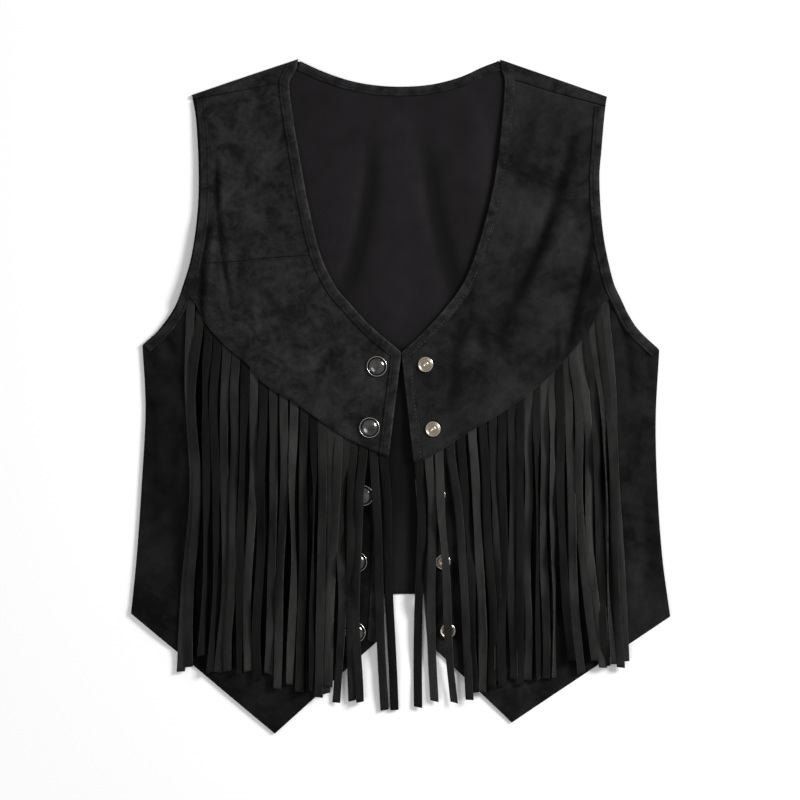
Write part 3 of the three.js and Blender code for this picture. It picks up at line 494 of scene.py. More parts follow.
def turned_part(profile, x, y, z, material=0):
    """A profile of radius and height, turned about an upright axis."""
    angles = np.linspace(0, 2 * math.pi, SNAP_SIDES, endpoint=False)
    points, faces, rings = [], [], []
    for radius, height in profile:
        if radius == 0:
            rings.append([len(points)] * SNAP_SIDES)
            points.append((x, y, z + height))
        else:
            rings.append(list(range(len(points), len(points) + SNAP_SIDES)))
            points.extend((x + radius * math.cos(a), y + radius * math.sin(a), z + height) for a in angles)
    for low, high in zip(rings, rings[1:]):
        for i in range(SNAP_SIDES):
            j = (i + 1) % SNAP_SIDES
            corners = dict.fromkeys((low[i], low[j], high[j], high[i]))
            faces.append(tuple(corners))
    return {"points": np.array(points), "faces": faces, "material": material}


# Heights of the cloth
def fold_height(folds, x, y):
    total = np.zeros(np.shape(x))
    for x0, y0, x1, y1, width, height in folds:
        dx, dy = x1 - x0, y1 - y0
        along = np.clip(((x - x0) * dx + (y - y0) * dy) / (dx * dx + dy * dy), 0, 1)
        away = np.hypot(x - x0 - along * dx, y - y0 - along * dy)
        total = np.maximum(total, height * (1 - ease(away / width)))
    return total


def crease_height(creases, x, y):
    """Soft troughs and ridges that fade out at both ends."""
    total = np.zeros(np.shape(x))
    for x0, y0, x1, y1, bow, width, height in creases:
        dx, dy = x1 - x0, y1 - y0
        length = math.hypot(dx, dy)
        along = ((x - x0) * dx + (y - y0) * dy) / length**2
        bowed = bow * 4 * np.clip(along, 0, 1) * (1 - np.clip(along, 0, 1))
        away = ((y - y0) * dx - (x - x0) * dy) / length - bowed
        fade = ease((along + 0.15) / 0.4) * (1 - ease((along - 0.75) / 0.4))
        total += height * np.exp(-(away / width) ** 2) * fade
    return total


# Waves in all the cloth: the way they run in degrees, length, phase and height
WAVES = (
    (12, 96, 0.4, 0.22),
    (71, 130, 2.1, 0.24),
    (118, 61, 4.0, 0.13),
    (155, 78, 1.2, 0.15),
    (40, 43, 5.2, 0.08),
)


def waviness(x, y):
    total = np.zeros(np.shape(x))
    for degrees, length, phase, height in WAVES:
        angle = math.radians(degrees)
        run = x * math.cos(angle) + y * math.sin(angle)
        total += height * (1 + np.sin(2 * math.pi * run / length + phase))
    return total


back_hem_height = height_over(edge(BACK_HEM))


class Side:
    """One front: its edges, and the height of the cloth's underside."""

    def __init__(self, sign, folds, creases, yoke_seam, opening, meet, point, side, snaps):
        self.sign = sign
        self.folds = folds
        self.creases = creases
        self.yoke_seam = edge(yoke_seam)
        self.yoke_height = height_over(self.yoke_seam)
        self.yoke = np.array(opening["yoke"], float)
        self.hem = np.array(opening["hem"], float)
        self.meet = np.array(meet, float)
        self.point = np.array(point, float)
        self.side = side
        self.snaps = snaps
        run = self.meet - self.yoke
        self.overlap_run = run / np.hypot(*run)

    def opening_x(self, y):
        share = (y - self.hem[1]) / (self.yoke[1] - self.hem[1])
        return self.hem[0] + (self.yoke[0] - self.hem[0]) * share

    def rest(self, x, y):
        """The underside as in the solids."""
        drop = (y - back_hem_height(x) + HEM_MARGIN + HEM_DROP) / HEM_DROP
        return FRONT_REST * ease(drop) + fold_height(self.folds, x, y)

    def under(self, x, y):
        """The underside with its creases. It stands off the back a little, so a trough has room,
        and comes down to it at the side seam."""
        rest = self.rest(x, y)
        lowest = np.minimum(rest, CLOTH + BACK_CLEAR)
        loft = LOFT * ease((y - LOFT_FROM) / LOFT_RUN) * ease((LOFT_TO - y) / LOFT_RUN)
        from_side = ease((SIDE_SEAM - np.abs(x)) / SIDE_RUN)
        loose = (loft + waviness(x, y) - WAVES_SUNK) * from_side
        return np.maximum(rest + loose + crease_height(self.creases, x, y), lowest)

    def from_yoke_seam(self, x, y):
        """How far a place is above the yoke seam, square to it."""
        slope = (self.yoke_height(x + 2) - self.yoke_height(x - 2)) / 4
        return (y - self.yoke_height(x)) / np.hypot(1, slope)

    def step(self, x, y):
        away = self.from_yoke_seam(x, y)
        return YOKE_STEP * (1 - ease((away - STEP_FLAT) / (STEP_END - STEP_FLAT)))

    def yoke_under(self, x, y):
        return self.under(x, y) + self.step(x, y)

    def top(self, x, y):
        on_yoke = y > self.yoke_height(x) - YOKE_EDGE_REACH
        return self.under(x, y) + np.where(on_yoke, self.step(x, y), 0) + CLOTH

    def tone(self, x, y):
        """Painted shade in a trough and a painted highlight on a ridge: the cloth's colour is darker and
        lighter there.
        """
        return np.clip(1 + CREASE_PAINTED_SHADING * crease_height(self.creases, x, y), 0.1, 1.5)

    def under_fringe(self, x, y):
        """The front is in deep shade between the strips."""
        across = np.abs(x)
        inside = ease((across - FRINGE_SHADE_FROM) / 8) * ease((FRINGE_SHADE_TO - across) / 8)
        covered = inside * ease((y - FRINGE_SHADE_END) / 8)
        return self.tone(x, y) * (1 - (1 - FRINGE_SHADE) * covered)

    def to_hem(self, x, y):
        """How far a place is from the front's lower edges."""
        away = []
        for end in (np.array(self.side[0], float), self.hem):
            run = end - self.point
            run = run / np.hypot(*run)
            away.append(np.abs((y - self.point[1]) * run[0] - (x - self.point[0]) * run[1]))
        return np.minimum(*away)


right = Side(-1, FOLDS_RIGHT, CREASES_RIGHT, YOKE_SEAM_RIGHT, OPENING_RIGHT,
             NECK_RIGHT["lower"][0], POINT_RIGHT, SIDE_RIGHT, CAPS)
left = Side(1, FOLDS_LEFT, CREASES_LEFT, YOKE_SEAM_LEFT, OPENING_LEFT,
            NECK_LEFT[0], POINT_LEFT, SIDE_LEFT, STUDS)


# Materials
def shade(tree, kind, values=None, **facts):
    """A shader node with its input values and its settings."""
    made = tree.nodes.new(kind)
    for name, value in facts.items():
        setattr(made, name, value)
    for name, value in (values or {}).items():
        made.inputs[name].default_value = value
    return made


def ramp(tree, source, low, high):
    """Blends two colours along a value, from one share to the other."""
    made = tree.nodes.new("ShaderNodeValToRGB")
    for stop, (share, colour) in zip(made.color_ramp.elements, (low, high)):
        stop.position = share
        stop.color = (*colour, 1)
    tree.links.new(source, made.inputs["Fac"])
    return made.outputs["Color"]


def blank(name, values):
    made = bpy.data.materials.new(name)
    made.use_nodes = True
    shader = made.node_tree.nodes["Principled BSDF"]
    for socket, value in values.items():
        shader.inputs[socket].default_value = value
    return made, made.node_tree, shader


def cloth_material(name, dark, light, patch_size, nap_size, bump, values, swirl, stretch=(1, 1, 1)):
    """Napped cloth: soft patches of brushed pile, broken up by small flecks and a fine nap."""
    made, tree, shader = blank(name, values)
    link = tree.links.new
    place = shade(tree, "ShaderNodeTexCoord").outputs["Object"]
    scaled = shade(tree, "ShaderNodeMapping", {"Scale": stretch})
    link(place, scaled.inputs["Vector"])
    spot = scaled.outputs["Vector"]
    patches = shade(tree, "ShaderNodeTexNoise", {
        "Scale": 1 / (patch_size * MM), "Detail": 5.0, "Roughness": 0.62, "Distortion": swirl})
    flecks = shade(tree, "ShaderNodeTexNoise", {
        "Scale": 4 / (patch_size * MM), "Detail": 4.0, "Roughness": 0.6, "Distortion": swirl / 2})
    nap = shade(tree, "ShaderNodeTexNoise", {
        "Scale": 1 / (nap_size * MM), "Detail": 3.0, "Roughness": 0.7})
    for noise in (patches, flecks, nap):
        link(spot, noise.inputs["Vector"])
    mixed = shade(tree, "ShaderNodeMath", {1: 0.35}, operation="MULTIPLY")
    link(flecks.outputs["Fac"], mixed.inputs[0])
    summed = shade(tree, "ShaderNodeMath", {1: 0.65}, operation="MULTIPLY_ADD")
    link(patches.outputs["Fac"], summed.inputs[0])
    link(mixed.outputs["Value"], summed.inputs[2])
    fine = shade(tree, "ShaderNodeMath", {1: 0.22}, operation="MULTIPLY_ADD")
    link(nap.outputs["Fac"], fine.inputs[0])
    link(summed.outputs["Value"], fine.inputs[2])
    colour = ramp(tree, fine.outputs["Value"], (0.50, dark), (0.74, light))
    # The tone attribute scales the colour: it carries painted shade and highlight from the meshes, and the
    # strips' random tones
    tone = shade(tree, "ShaderNodeAttribute", attribute_name="tone")
    toned = shade(tree, "ShaderNodeVectorMath", operation="SCALE")
    link(colour, toned.inputs[0])
    link(tone.outputs["Fac"], toned.inputs["Scale"])
    link(toned.outputs["Vector"], shader.inputs["Base Color"])
    relief = shade(tree, "ShaderNodeBump", {"Strength": 0.55, "Distance": bump * MM})
    link(fine.outputs["Value"], relief.inputs["Height"])
    link(relief.outputs["Normal"], shader.inputs["Normal"])
    return made


def metal_material(name, colour, roughness, wear, grain=900.0):
    """Polished metal with fine wear in its gloss."""
    made, tree, shader = blank(name, {"Metallic": 1.0, "Roughness": roughness})
    place = shade(tree, "ShaderNodeTexCoord").outputs["Object"]
    noise = shade(tree, "ShaderNodeTexNoise", {"Scale": grain, "Detail": 4.0, "Roughness": 0.6})
    tree.links.new(place, noise.inputs["Vector"])
    worn = tuple(min(1.0, c * (1 + wear)) for c in colour)
    tree.links.new(ramp(tree, noise.outputs["Fac"], (0.3, colour), (0.75, worn)), shader.inputs["Base Color"])
    gloss = shade(tree, "ShaderNodeMath", {1: roughness, 2: roughness * 0.6}, operation="MULTIPLY_ADD")
    tree.links.new(noise.outputs["Fac"], gloss.inputs[0])
    tree.links.new(gloss.outputs["Value"], shader.inputs["Roughness"])
    return made


SUEDE_FINISH = {
    "Roughness": 0.95, "Specular IOR Level": 0.08, "Sheen Weight": 0.03, "Sheen Roughness": 0.4,
}
suede = cloth_material("suede", (0.0052, 0.0054, 0.0053), (0.0220, 0.0223, 0.0218), 24, 0.55, 0.25,
                       SUEDE_FINISH, swirl=1.1)
soft_suede = cloth_material("suede_soft", (0.0040, 0.0042, 0.0042), (0.0200, 0.0202, 0.0203), 52, 0.55,
                            0.25, SUEDE_FINISH, swirl=0.7)
strip = cloth_material("suede_strip", (0.0085, 0.0086, 0.0082), (0.0200, 0.0202, 0.0194), 40, 0.5, 0.2,
                       SUEDE_FINISH, stretch=(1, 0.4, 1), swirl=0.6)
raw_edge = cloth_material("suede_raw_edge", (0.012, 0.0122, 0.0115), (0.034, 0.0342, 0.033), 12, 0.4,
                          0.15, SUEDE_FINISH, swirl=1.0)
inner = cloth_material("inner_cloth", (0.0050, 0.0041, 0.0048), (0.0083, 0.0070, 0.0081), 60, 0.5, 0.06,
                       {"Roughness": 0.75, "Specular IOR Level": 0.12, "Sheen Weight": 0.02}, swirl=0.5)
thread = cloth_material("thread", (0.014, 0.014, 0.014), (0.050, 0.050, 0.050), 9, 0.3, 0.05,
                        {"Roughness": 0.6, "Specular IOR Level": 0.1}, swirl=0.3)
gunmetal = metal_material("gunmetal", (0.060, 0.057, 0.056), 0.14, 3.0, grain=190.0)
silver = metal_material("silver_rim", (0.62, 0.61, 0.58), 0.16, 0.15)
# Painted shade: a near black metal for the recess between the cap's rim and dome
groove = metal_material("groove", (0.012, 0.012, 0.013), 0.4, 0.2)
nickel = metal_material("nickel", (0.60, 0.53, 0.43), 0.2, 0.2)
# Painted shade: a darker copy of the nickel for the stud's recessed floor
nickel_recess_shade = metal_material("nickel_recess", (0.36, 0.31, 0.24), 0.3, 0.5)


# Cloth panels
def grid(place, columns, rows):
    s, t = np.meshgrid(np.linspace(0, 1, columns + 1), np.linspace(0, 1, rows + 1))
    spots = place(s, t)
    return spots[..., 0], spots[..., 1]


def cells(curve, step):
    return max(2, round(length_of(curve) / step))


def declare_cut(piece, x, y, rests_on, with_pieces=()):
    """Takes a panel, its grid, what it rests on and the pieces fixed to it, and states no cut."""
    list(with_pieces)
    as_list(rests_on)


def shoulder_line(spec):
    fold, seam = edge(spec["fold"]), edge(spec["seam"])

    def at(t):
        start = fold(t)
        run = seam(t) - start
        return start + run / np.maximum(np.hypot(run[..., 0], run[..., 1]), 1e-9)[..., None] * FOLD_RADIUS
    return at


def shoulder_strip(spec, stations=60, turns=10):
    """The back's cloth, folded forward over the shoulder and down to its seam with the yoke."""
    fold, seam = edge(spec["fold"]), edge(spec["seam"])
    inner_radius = FOLD_RADIUS - CLOTH
    rings = []
    for share in np.linspace(0, 1, stations + 1):
        start = fold(share)
        run = seam(share) - start
        length = np.hypot(*run)
        run = run / length
        angles = (np.arange(turns + 1) / turns - 0.5) * math.pi
        line = [(FOLD_RADIUS + FOLD_LEG, 0.05)]
        line += [(FOLD_RADIUS * (1 - math.cos(a)), FOLD_RADIUS * (1 + math.sin(a))) for a in angles]
        bulge = 0.35 * math.sin(math.pi * share)
        line += [(FOLD_RADIUS + (length - FOLD_RADIUS) * k, 2 * FOLD_RADIUS + bulge * math.sin(math.pi * k))
                 for k in (0.25, 0.5, 0.75, 0.93)]
        line += [(length, 2 * FOLD_RADIUS - 0.25), (length, FOLD_RADIUS + inner_radius)]
        line += [(FOLD_RADIUS - inner_radius * math.cos(a), FOLD_RADIUS + inner_radius * math.sin(a))
                 for a in angles[::-1]]
        line += [(FOLD_RADIUS + FOLD_LEG, CLOTH - 0.05)]
        rings.append([(*(start + run * away), z) for away, z in line])
    return tube_part(rings, material=1)


def back_top(x, y):
    """Folds stand up in the back's cloth only inside the neck, where nothing lies on it."""
    half_neck = np.interp(y, NECK_HEIGHTS, NECK_HALVES)
    free = ease((y - 40) / 30) * ease((half_neck - np.abs(x)) / 10)
    return CLOTH + free * (crease_height(CREASES_BACK, x, y) + 0.35 * waviness(x, y))


def back_painted_shade(x, y):
    """Painted shade on the back: darker in its troughs, beside the left neck edge, in the gap of the fronts
    and at the armholes, where shadows fall; lighter on its ridges.
    """
    creased = np.clip(1 + BACK_CREASE_PAINTED_SHADING * crease_height(CREASES_BACK, x, y), 0.3, 1.3)
    half_neck = np.interp(y, NECK_HEIGHTS, NECK_HALVES)
    # Painted shadow of the left neck edge on the back
    beside = 1 - 0.6 * ease((x - half_neck + 10) / 10) * ease((y - 40) / 30)
    below_neck = ease((45 - y) / 8)
    # Painted shade in the gap between the fronts, and the painted shadow of the left front beside it
    in_gap = 1 - 0.85 * ease((y - GAP_PAINTED_SHADE_TO) / 60) * below_neck
    by_front = 1 - 0.93 * ease((x - left.opening_x(y) + 14) / 9) * below_neck
    # Painted shade at the armhole rims, nearly black
    at_armhole = np.where(np.abs(x) > ARMHOLE_PAINTED_SHADE_FROM, 0.08, 1)
    return creased * beside * in_gap * by_front * at_armhole


def make_back():
    outer_right, outer_left = shoulder_line(SHOULDER_RIGHT), shoulder_line(SHOULDER_LEFT)
    neck = edge([outer_right(0.0), *BACK_NECK[1:-1], outer_left(0.0)])
    arm_right = edge([*BACK_ARMHOLE_RIGHT, outer_right(1.0)])
    arm_left = edge([*BACK_ARMHOLE_LEFT, outer_left(1.0)])
    hem = edge(BACK_HEM)
    place = patch(
        joined(edge(SIDE_RIGHT), arm_right, 0.5), joined(edge(SIDE_LEFT), arm_left, 0.5), hem,
        joined(backwards(outer_right), joined(neck, outer_left, 2 / 3), 0.25))
    x, y = grid(place, cells(hem, BACK_STEP), 120)
    body = sheet_part(x, y, np.zeros(x.shape), back_top(x, y), top=0, under=1, rim=1, tone=back_painted_shade(x, y))
    parts = [body, shoulder_strip(SHOULDER_RIGHT), shoulder_strip(SHOULDER_LEFT)]
    piece = make("back_cloth", parts, [inner, suede])
    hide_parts("back")
    return piece, x, y


def panel(node, place, columns, rows, low, tone, lift=None, cloth=suede):
    """A cloth panel over its solid's form, and its grid for the cut."""
    x, y = grid(place, columns, rows)
    under = low(x, y)
    extra = lift(x, y) if lift else 0
    part = sheet_part(x, y, under, under + CLOTH + extra, tone=tone(x, y))
    piece = make(node + "_cloth", [part], [cloth])
    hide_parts(node)
    return piece, x, y


def lower_front(node, side, armhole, tone):
    """The front below the yoke seam, with its hem turned up and sewn."""
    armhole_columns, yoke_columns, hem_columns = 18, 77, 54
    columns = armhole_columns + yoke_columns
    top = joined(edge(armhole["lower"]),
                 lambda t: side.yoke_seam(t) + side.overlap_run * (
                     OVERLAP * np.minimum(1, np.asarray(t) / OVERLAP_RUN))[..., None],
                 armhole_columns / columns)
    bottom = joined(edge([side.side[0], side.point]), edge([side.point, side.hem]), hem_columns / columns)
    outer = edge(side.side)
    opening = edge([side.hem, side.yoke, top(1.0)])
    if side.sign < 0:
        place = patch(outer, opening, bottom, top)
    else:
        place = patch(opening, outer, backwards(bottom), backwards(top))

    def hem_fold(x, y):
        away = side.to_hem(x, y)
        return 0.5 * (1 - ease((away - HEM_WIDTH) / 1.6)) - 0.3 * np.exp(-((away - HEM_WIDTH) / 1.1) ** 2)
    # The front's colour carries painted shade: its creases, the fringe over it and the scale given for this
    # front
    return panel(node, place, columns, 150, side.under, lambda x, y: tone * side.under_fringe(x, y),
                 hem_fold, soft_suede)


def seam_swell(side):
    """The yoke's turned edge: thicker near the seam, and pressed in along its stitches."""
    def at(x, y):
        away = side.from_yoke_seam(x, y)
        swell = 0.4 * (1 - ease((away - 7) / 3))
        pressed = sum(0.28 * np.exp(-((away - line) / 1.2) ** 2) for line in YOKE_STITCHES)
        return swell - pressed
    return at


def make_yokes():
    opening = edge([OPENING_RIGHT["yoke"], NECK_RIGHT["lower"][0]])
    lower = patch(edge(ARMHOLE_RIGHT["middle"]), joined(opening, edge(NECK_RIGHT["lower"]), 5 / 11),
                  right.yoke_seam, edge(CROSS_SEAM))
    upper = patch(edge(ARMHOLE_RIGHT["upper"]), edge(NECK_RIGHT["upper"]),
                  moved(edge(CROSS_SEAM), 0, SEAM_GAP),
                  moved(backwards(edge(SHOULDER_RIGHT["seam"])), 0, -SHOULDER_GAP))
    opening_left = edge([OPENING_LEFT["yoke"], NECK_LEFT[0]])
    whole = patch(joined(opening_left, edge(NECK_LEFT), 5 / 18), edge(ARMHOLE_LEFT["upper"]),
                  backwards(left.yoke_seam), moved(edge(SHOULDER_LEFT["seam"]), 0, -SHOULDER_GAP))
    return {
        "right_lower": panel("yoke_right_lower", lower, 90, 80, right.yoke_under, right.tone,
                             seam_swell(right)),
        "right_upper": panel("yoke_right_upper", upper, 48, 66, right.yoke_under, right.tone),
        "left": panel("yoke_left", whole, 84, 140, left.yoke_under, left.tone, seam_swell(left),
                      soft_suede),
    }


# Bands: a folded strip that wraps the panel's edge. A row gives a share of the width, a height and the tone
# there:
# painted shade in the stitched groove and underneath, a painted highlight on the crest. The outer edge, up to
# a share of 0.05,
# has its own tone in each band: a painted highlight where it catches the light, painted shade where it is
# turned from the light
BAND_SECTION = (
    (0.0, -1.15, 0.6), (-0.05, -0.95, 0.8), (-0.075, -0.3, 1.0), (-0.06, 0.45, 1.0), (0.0, 0.95, 1.0),
    (0.1, 1.2, 1.2), (0.32, 1.32, 1.0), (0.54, 1.28, 0.95), (0.66, 1.1, 0.8), (0.72, 0.8, 0.5),
    (0.78, 1.08, 0.9), (0.88, 1.12, 1.0), (0.96, 0.9, 0.9), (1.0, 0.4, 0.5), (0.98, 0.04, 0.4),
    (0.5, 0.04, 0.5), (0.01, 0.04, 0.5),
)


def band(name, node, curve, width, inward, top_at, start=0.0, stop=1.0, sewn_tone=0.45, edge_tone=2.2):
    """Sweeps the band's section along an edge, and sews it with one line of stitches."""
    count = max(8, round(length_of(curve) * (stop - start) / BAND_STEP))
    shares = np.linspace(start, stop, count + 1)
    outer = curve(shares)
    across = normals(outer) * inward
    lines = {}
    for key, share in (("outer", 0.12), ("inner", 1.0)):
        spots = outer + across * (share * width)
        lines[key] = draped(top_at(spots[:, 0], spots[:, 1]), 2) + 0.05
    rings = []
    for k in range(count + 1):
        ring = []
        for share, up, _ in BAND_SECTION:
            spot = outer[k] + across[k] * (share * width)
            base = lines["outer"][k] + (lines["inner"][k] - lines["outer"][k]) * share
            ring.append((*spot, base + up))
        rings.append(ring[::-1] if inward > 0 else ring)
    sewn = outer + across * (STITCH_IN_BAND * width)
    level = lines["outer"] + (lines["inner"] - lines["outer"]) * STITCH_IN_BAND + 0.95
    # Painted shade and highlight across the band, and edge_tone's painted highlight or shade on its outer
    # edge
    tones = [tone * (edge_tone if share < 0.05 else 1) for share, _, tone in BAND_SECTION]
    strip_part = tube_part(rings, tone=(tones[::-1] if inward > 0 else tones) * (count + 1))
    piece = make(name, [strip_part, stitches(sewn, level, 1, sewn_tone)], [suede, thread])
    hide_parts(node)
    return piece


def stitches(points, heights, material=0, tone=0.2):
    """A row of stitches along a line: a small rounded bead for each."""
    run = np.concatenate([[0], np.cumsum(np.hypot(*np.diff(points, axis=0).T))])
    starts = np.arange(STITCH_PITCH / 2, run[-1] - STITCH_LENGTH, STITCH_PITCH)
    beads, faces = [], []
    angles = np.linspace(0, 2 * math.pi, STITCH_SIDES, endpoint=False)

    def spot(distance):
        return np.array([np.interp(distance, run, points[:, k]) for k in (0, 1)])
    for number, start in enumerate(starts):
        first = number * STITCH_SIDES * len(STITCH_RINGS)
        along = spot(start + STITCH_LENGTH) - spot(start)
        along /= max(np.hypot(*along), 1e-9)
        side = np.array([-along[1], along[0]])
        for share, size in STITCH_RINGS:
            distance = start + STITCH_LENGTH * (share + 1) / 2
            centre = spot(distance)
            height = np.interp(distance, run, heights) - 0.12 * abs(share)
            for angle in angles:
                reach = side * (STITCH_RADIUS * size * math.cos(angle))
                beads.append((*(centre + reach), height + STITCH_RADIUS * size * math.sin(angle)))
        for ring in range(len(STITCH_RINGS) - 1):
            for i in range(STITCH_SIDES):
                a = first + ring * STITCH_SIDES + i
                b = first + ring * STITCH_SIDES + (i + 1) % STITCH_SIDES
                faces.append((a, a + STITCH_SIDES, b + STITCH_SIDES, b))
        last = first + (len(STITCH_RINGS) - 1) * STITCH_SIDES
        faces.append(tuple(first + i for i in range(STITCH_SIDES)))
        faces.append(tuple(last + i for i in reversed(range(STITCH_SIDES))))
    return {"points": np.array(beads), "faces": faces, "material": material, "tone": tone}


def sewing_line(curve, inset, inward, height_at, start=0.0, stop=1.0):
    """Stitches on a panel, at a distance in from a curve."""
    points = curve(np.linspace(start, stop, 240))
    points = points + normals(points) * inward * inset
    return stitches(points, height_at(points[:, 0], points[:, 1]))


def make_bands():
    neck_right = edge([*NECK_RIGHT["lower"], *NECK_RIGHT["upper"][1:], *OVER_SHOULDER_RIGHT])
    neck_left = edge([*NECK_LEFT, *OVER_SHOULDER_LEFT])
    opening_right = edge([OPENING_RIGHT["yoke"], NECK_RIGHT["lower"][0]])
    opening_left = edge([OPENING_LEFT["yoke"], NECK_LEFT[0]])
    arm_right = edge([*ARMHOLE_RIGHT["lower"], *ARMHOLE_RIGHT["middle"][1:], *ARMHOLE_RIGHT["upper"][1:]])
    arm_left = edge([*ARMHOLE_LEFT["lower"], *ARMHOLE_LEFT["upper"][1:]])
    made = {
        "back_neck": band("back_neck_band", "back_neck_binding", edge(BACK_NECK), NECK_BAND_WIDTH, -1,
                          back_top, NECK_BAND_END, 1 - NECK_BAND_END, edge_tone=0.5),
        "neck_right": band("neck_band_right", "neck_binding_right", joined(opening_right, neck_right, 0.25),
                           BAND_WIDTH, 1, right.top, 0.005),
        "neck_left": band("neck_band_left", "neck_binding_left", joined(opening_left, neck_left, 0.25),
                          BAND_WIDTH, -1, left.top, 0.005, sewn_tone=1.4),
        # Painted shade: the right armhole band's edge is near black, away from the light; the left's edge is
        # a painted highlight
        "armhole_right": band("armhole_band_right", "armhole_binding_right", arm_right, BAND_WIDTH, -1,
                              right.top, 0.005, 0.998, sewn_tone=0.25, edge_tone=0.12),
        "armhole_left": band("armhole_band_left", "armhole_binding_left", arm_left, BAND_WIDTH, 1,
                             left.top, 0.005, 0.998, edge_tone=1.4),
    }
    for name, side, inward in (("right", right, 1), ("left", left, -1)):
        stop = 1 - BAND_BELOW_YOKE / np.hypot(*(side.yoke - side.hem))
        made["front_" + name] = band("front_edge_band_" + name, "front_band_" + name,
                                     edge([side.hem, side.yoke]), BAND_WIDTH, inward, side.top, 0.0, stop)
    return made


# Fringe
def support(side, x, y):
    """The top of whatever lies under a strand at each place."""
    in_front = side.sign * (x - side.opening_x(y)) > -1
    to_opening = (x - side.point[0]) / (side.hem[0] - side.point[0])
    to_side = (x - side.point[0]) / (side.side[0][0] - side.point[0])
    hem = np.where(to_opening > 0, side.point[1] + (side.hem[1] - side.point[1]) * to_opening,
                   side.point[1] + (side.side[0][1] - side.point[1]) * to_side)
    band_start = side.yoke_height(side.opening_x(y)) - BAND_BELOW_YOKE + EDGE_CLEAR
    on_band = (np.abs(x - side.opening_x(y)) < BAND_WIDTH + EDGE_CLEAR) & (y < band_start)
    front = side.under(x, y) + CLOTH + np.where(on_band, BAND_TOP, 0)
    for snap in side.snaps:
        near = np.hypot(x - snap[0], y - snap[1]) < SNAP_REACH
        front = np.where(near, np.maximum(front, snap_seat(side, *snap) + CAP_HEIGHT), front)
    behind = np.where(y > back_hem_height(x) - EDGE_CLEAR, CLOTH, 0)
    return np.where(in_front & (y > hem - EDGE_CLEAR), front, behind)


def wave(rng, run, shortest, longest):
    """An even wave along a run, with a length and a start that the seed picks."""
    return np.sin(2 * math.pi * run / rng.uniform(shortest, longest) + rng.uniform(0, 2 * math.pi))


def strand(side, values, rng):
    """One strip of the fringe: it sways, cups and turns as it hangs down the front."""
    row = dict(zip(STRAND_COLUMNS, values))
    half = STRAND_WIDTH / 2
    free_from = min(side.yoke_height(row["root"] - half), side.yoke_height(row["root"] + half)) - STRAND_FREE
    top = side.yoke_height(row["root"]) + STRAND_ROOT
    levels = [(row[name], y) for name, y in STRAND_LEVELS if y < free_from - LEVEL_CLEAR]
    route = edge([(row["root"], top), (row["root"], free_from), *levels, (row["tip"], row["end"])])
    path = route(np.linspace(0, 1, round(length_of(route) / STRAND_STEP)))
    run = free_from - path[:, 1]
    depth = ease(run / 70)
    path[:, 0] += rng.uniform(0.3, 1.2) * wave(rng, run, 120, 260) * depth
    wobble = rng.uniform(8, 36) * wave(rng, run, 120, 280)
    turn = np.radians(row["turn"] * ease(run / TURN_RUN) + wobble * depth)
    rise = rng.uniform(0.4, 1.3) * (1 + wave(rng, run, 45, 90)) * depth
    fused = path[:, 1] > free_from
    around = [support(side, path[:, 0] + dx, path[:, 1] + dy)
              for dx in (-half, -half / 2, 0, half / 2, half) for dy in (-5, 0, 5)]
    hung = np.max(around, axis=0) + STRAND_CLEAR + row["lift"] * ease(run / 20) + rise
    rooted = side.under(path[:, 0], path[:, 1]) + CLOTH + SEAM_GAP
    centre = draped(np.where(fused, rooted, hung) + half * np.abs(np.sin(turn)), 2) + STRAND_THICK / 2
    across = -normals(path)
    cup = rng.uniform(-0.6, 0.8)
    # A random tone from the side's set, whose level is painted light
    tones = STRAND_TONES_RIGHT if side.sign < 0 else STRAND_TONES_LEFT
    shades = rng.choice(tones) * (1 + 0.15 * wave(rng, run, 120, 240))
    slant = rng.uniform(-1.0, 1.0)
    rings = []
    for k in range(len(path)):
        flat, tall = math.cos(turn[k]), math.sin(turn[k])
        bowl = cup * depth[k]
        upper, lower = [], []
        for u in STRAND_SECTION:
            thick = STRAND_THICK / 2 * (0.55 if abs(u) == 1 else 1)
            bent = bowl * (1 - u * u)
            for line, z in ((upper, bent + thick), (lower, bent - thick)):
                spot = path[k] + across[k] * (u * half * flat - z * tall)
                line.append([*spot, centre[k] + u * half * tall + z * flat])
        ring = upper + lower[::-1]
        if k == len(path) - 1:
            for point, u in zip(ring, STRAND_SECTION + STRAND_SECTION[::-1]):
                point[1] += slant * u
        rings.append(ring)
    count = len(STRAND_SECTION)
    raw = (0, count - 2, count - 1, count, 2 * count - 2, 2 * count - 1)
    marks = [1 if i in raw else 0 for i in range(2 * count)]
    return tube_part(rings, material=1, marks=marks, tone=np.repeat(shades, 2 * count))


def make_fringe(node, side, rows, seed):
    rng = np.random.default_rng(seed)
    s, t = np.meshgrid(np.linspace(BACKING["from"], BACKING["to"], 120), np.linspace(0, 1, 4))
    rise = BACKING["low"] + (BACKING["high"] - BACKING["low"]) * t
    spots = side.yoke_seam(s) + side.overlap_run * rise[..., None]
    x, y = spots[..., 0], spots[..., 1]
    if side.sign > 0:
        x, y = x[:, ::-1], y[:, ::-1]
    low = side.under(x, y) + CLOTH + SEAM_GAP
    parts = [sheet_part(x, y, low, low + BACKING["thick"] - 0.2)]
    parts += [strand(side, values, rng) for values in rows]
    piece = make(node + "_strips", parts, [strip, raw_edge])
    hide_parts(node)
    return piece


# Snaps
def snap_seat(side, x, y):
    angles = np.linspace(0, 2 * math.pi, 24, endpoint=False)
    rim = side.top(x + SNAP_RADIUS * np.cos(angles), y + SNAP_RADIUS * np.sin(angles))
    return SEAM_GAP + max(float(rim.max()), float(side.top(np.float64(x), np.float64(y))))


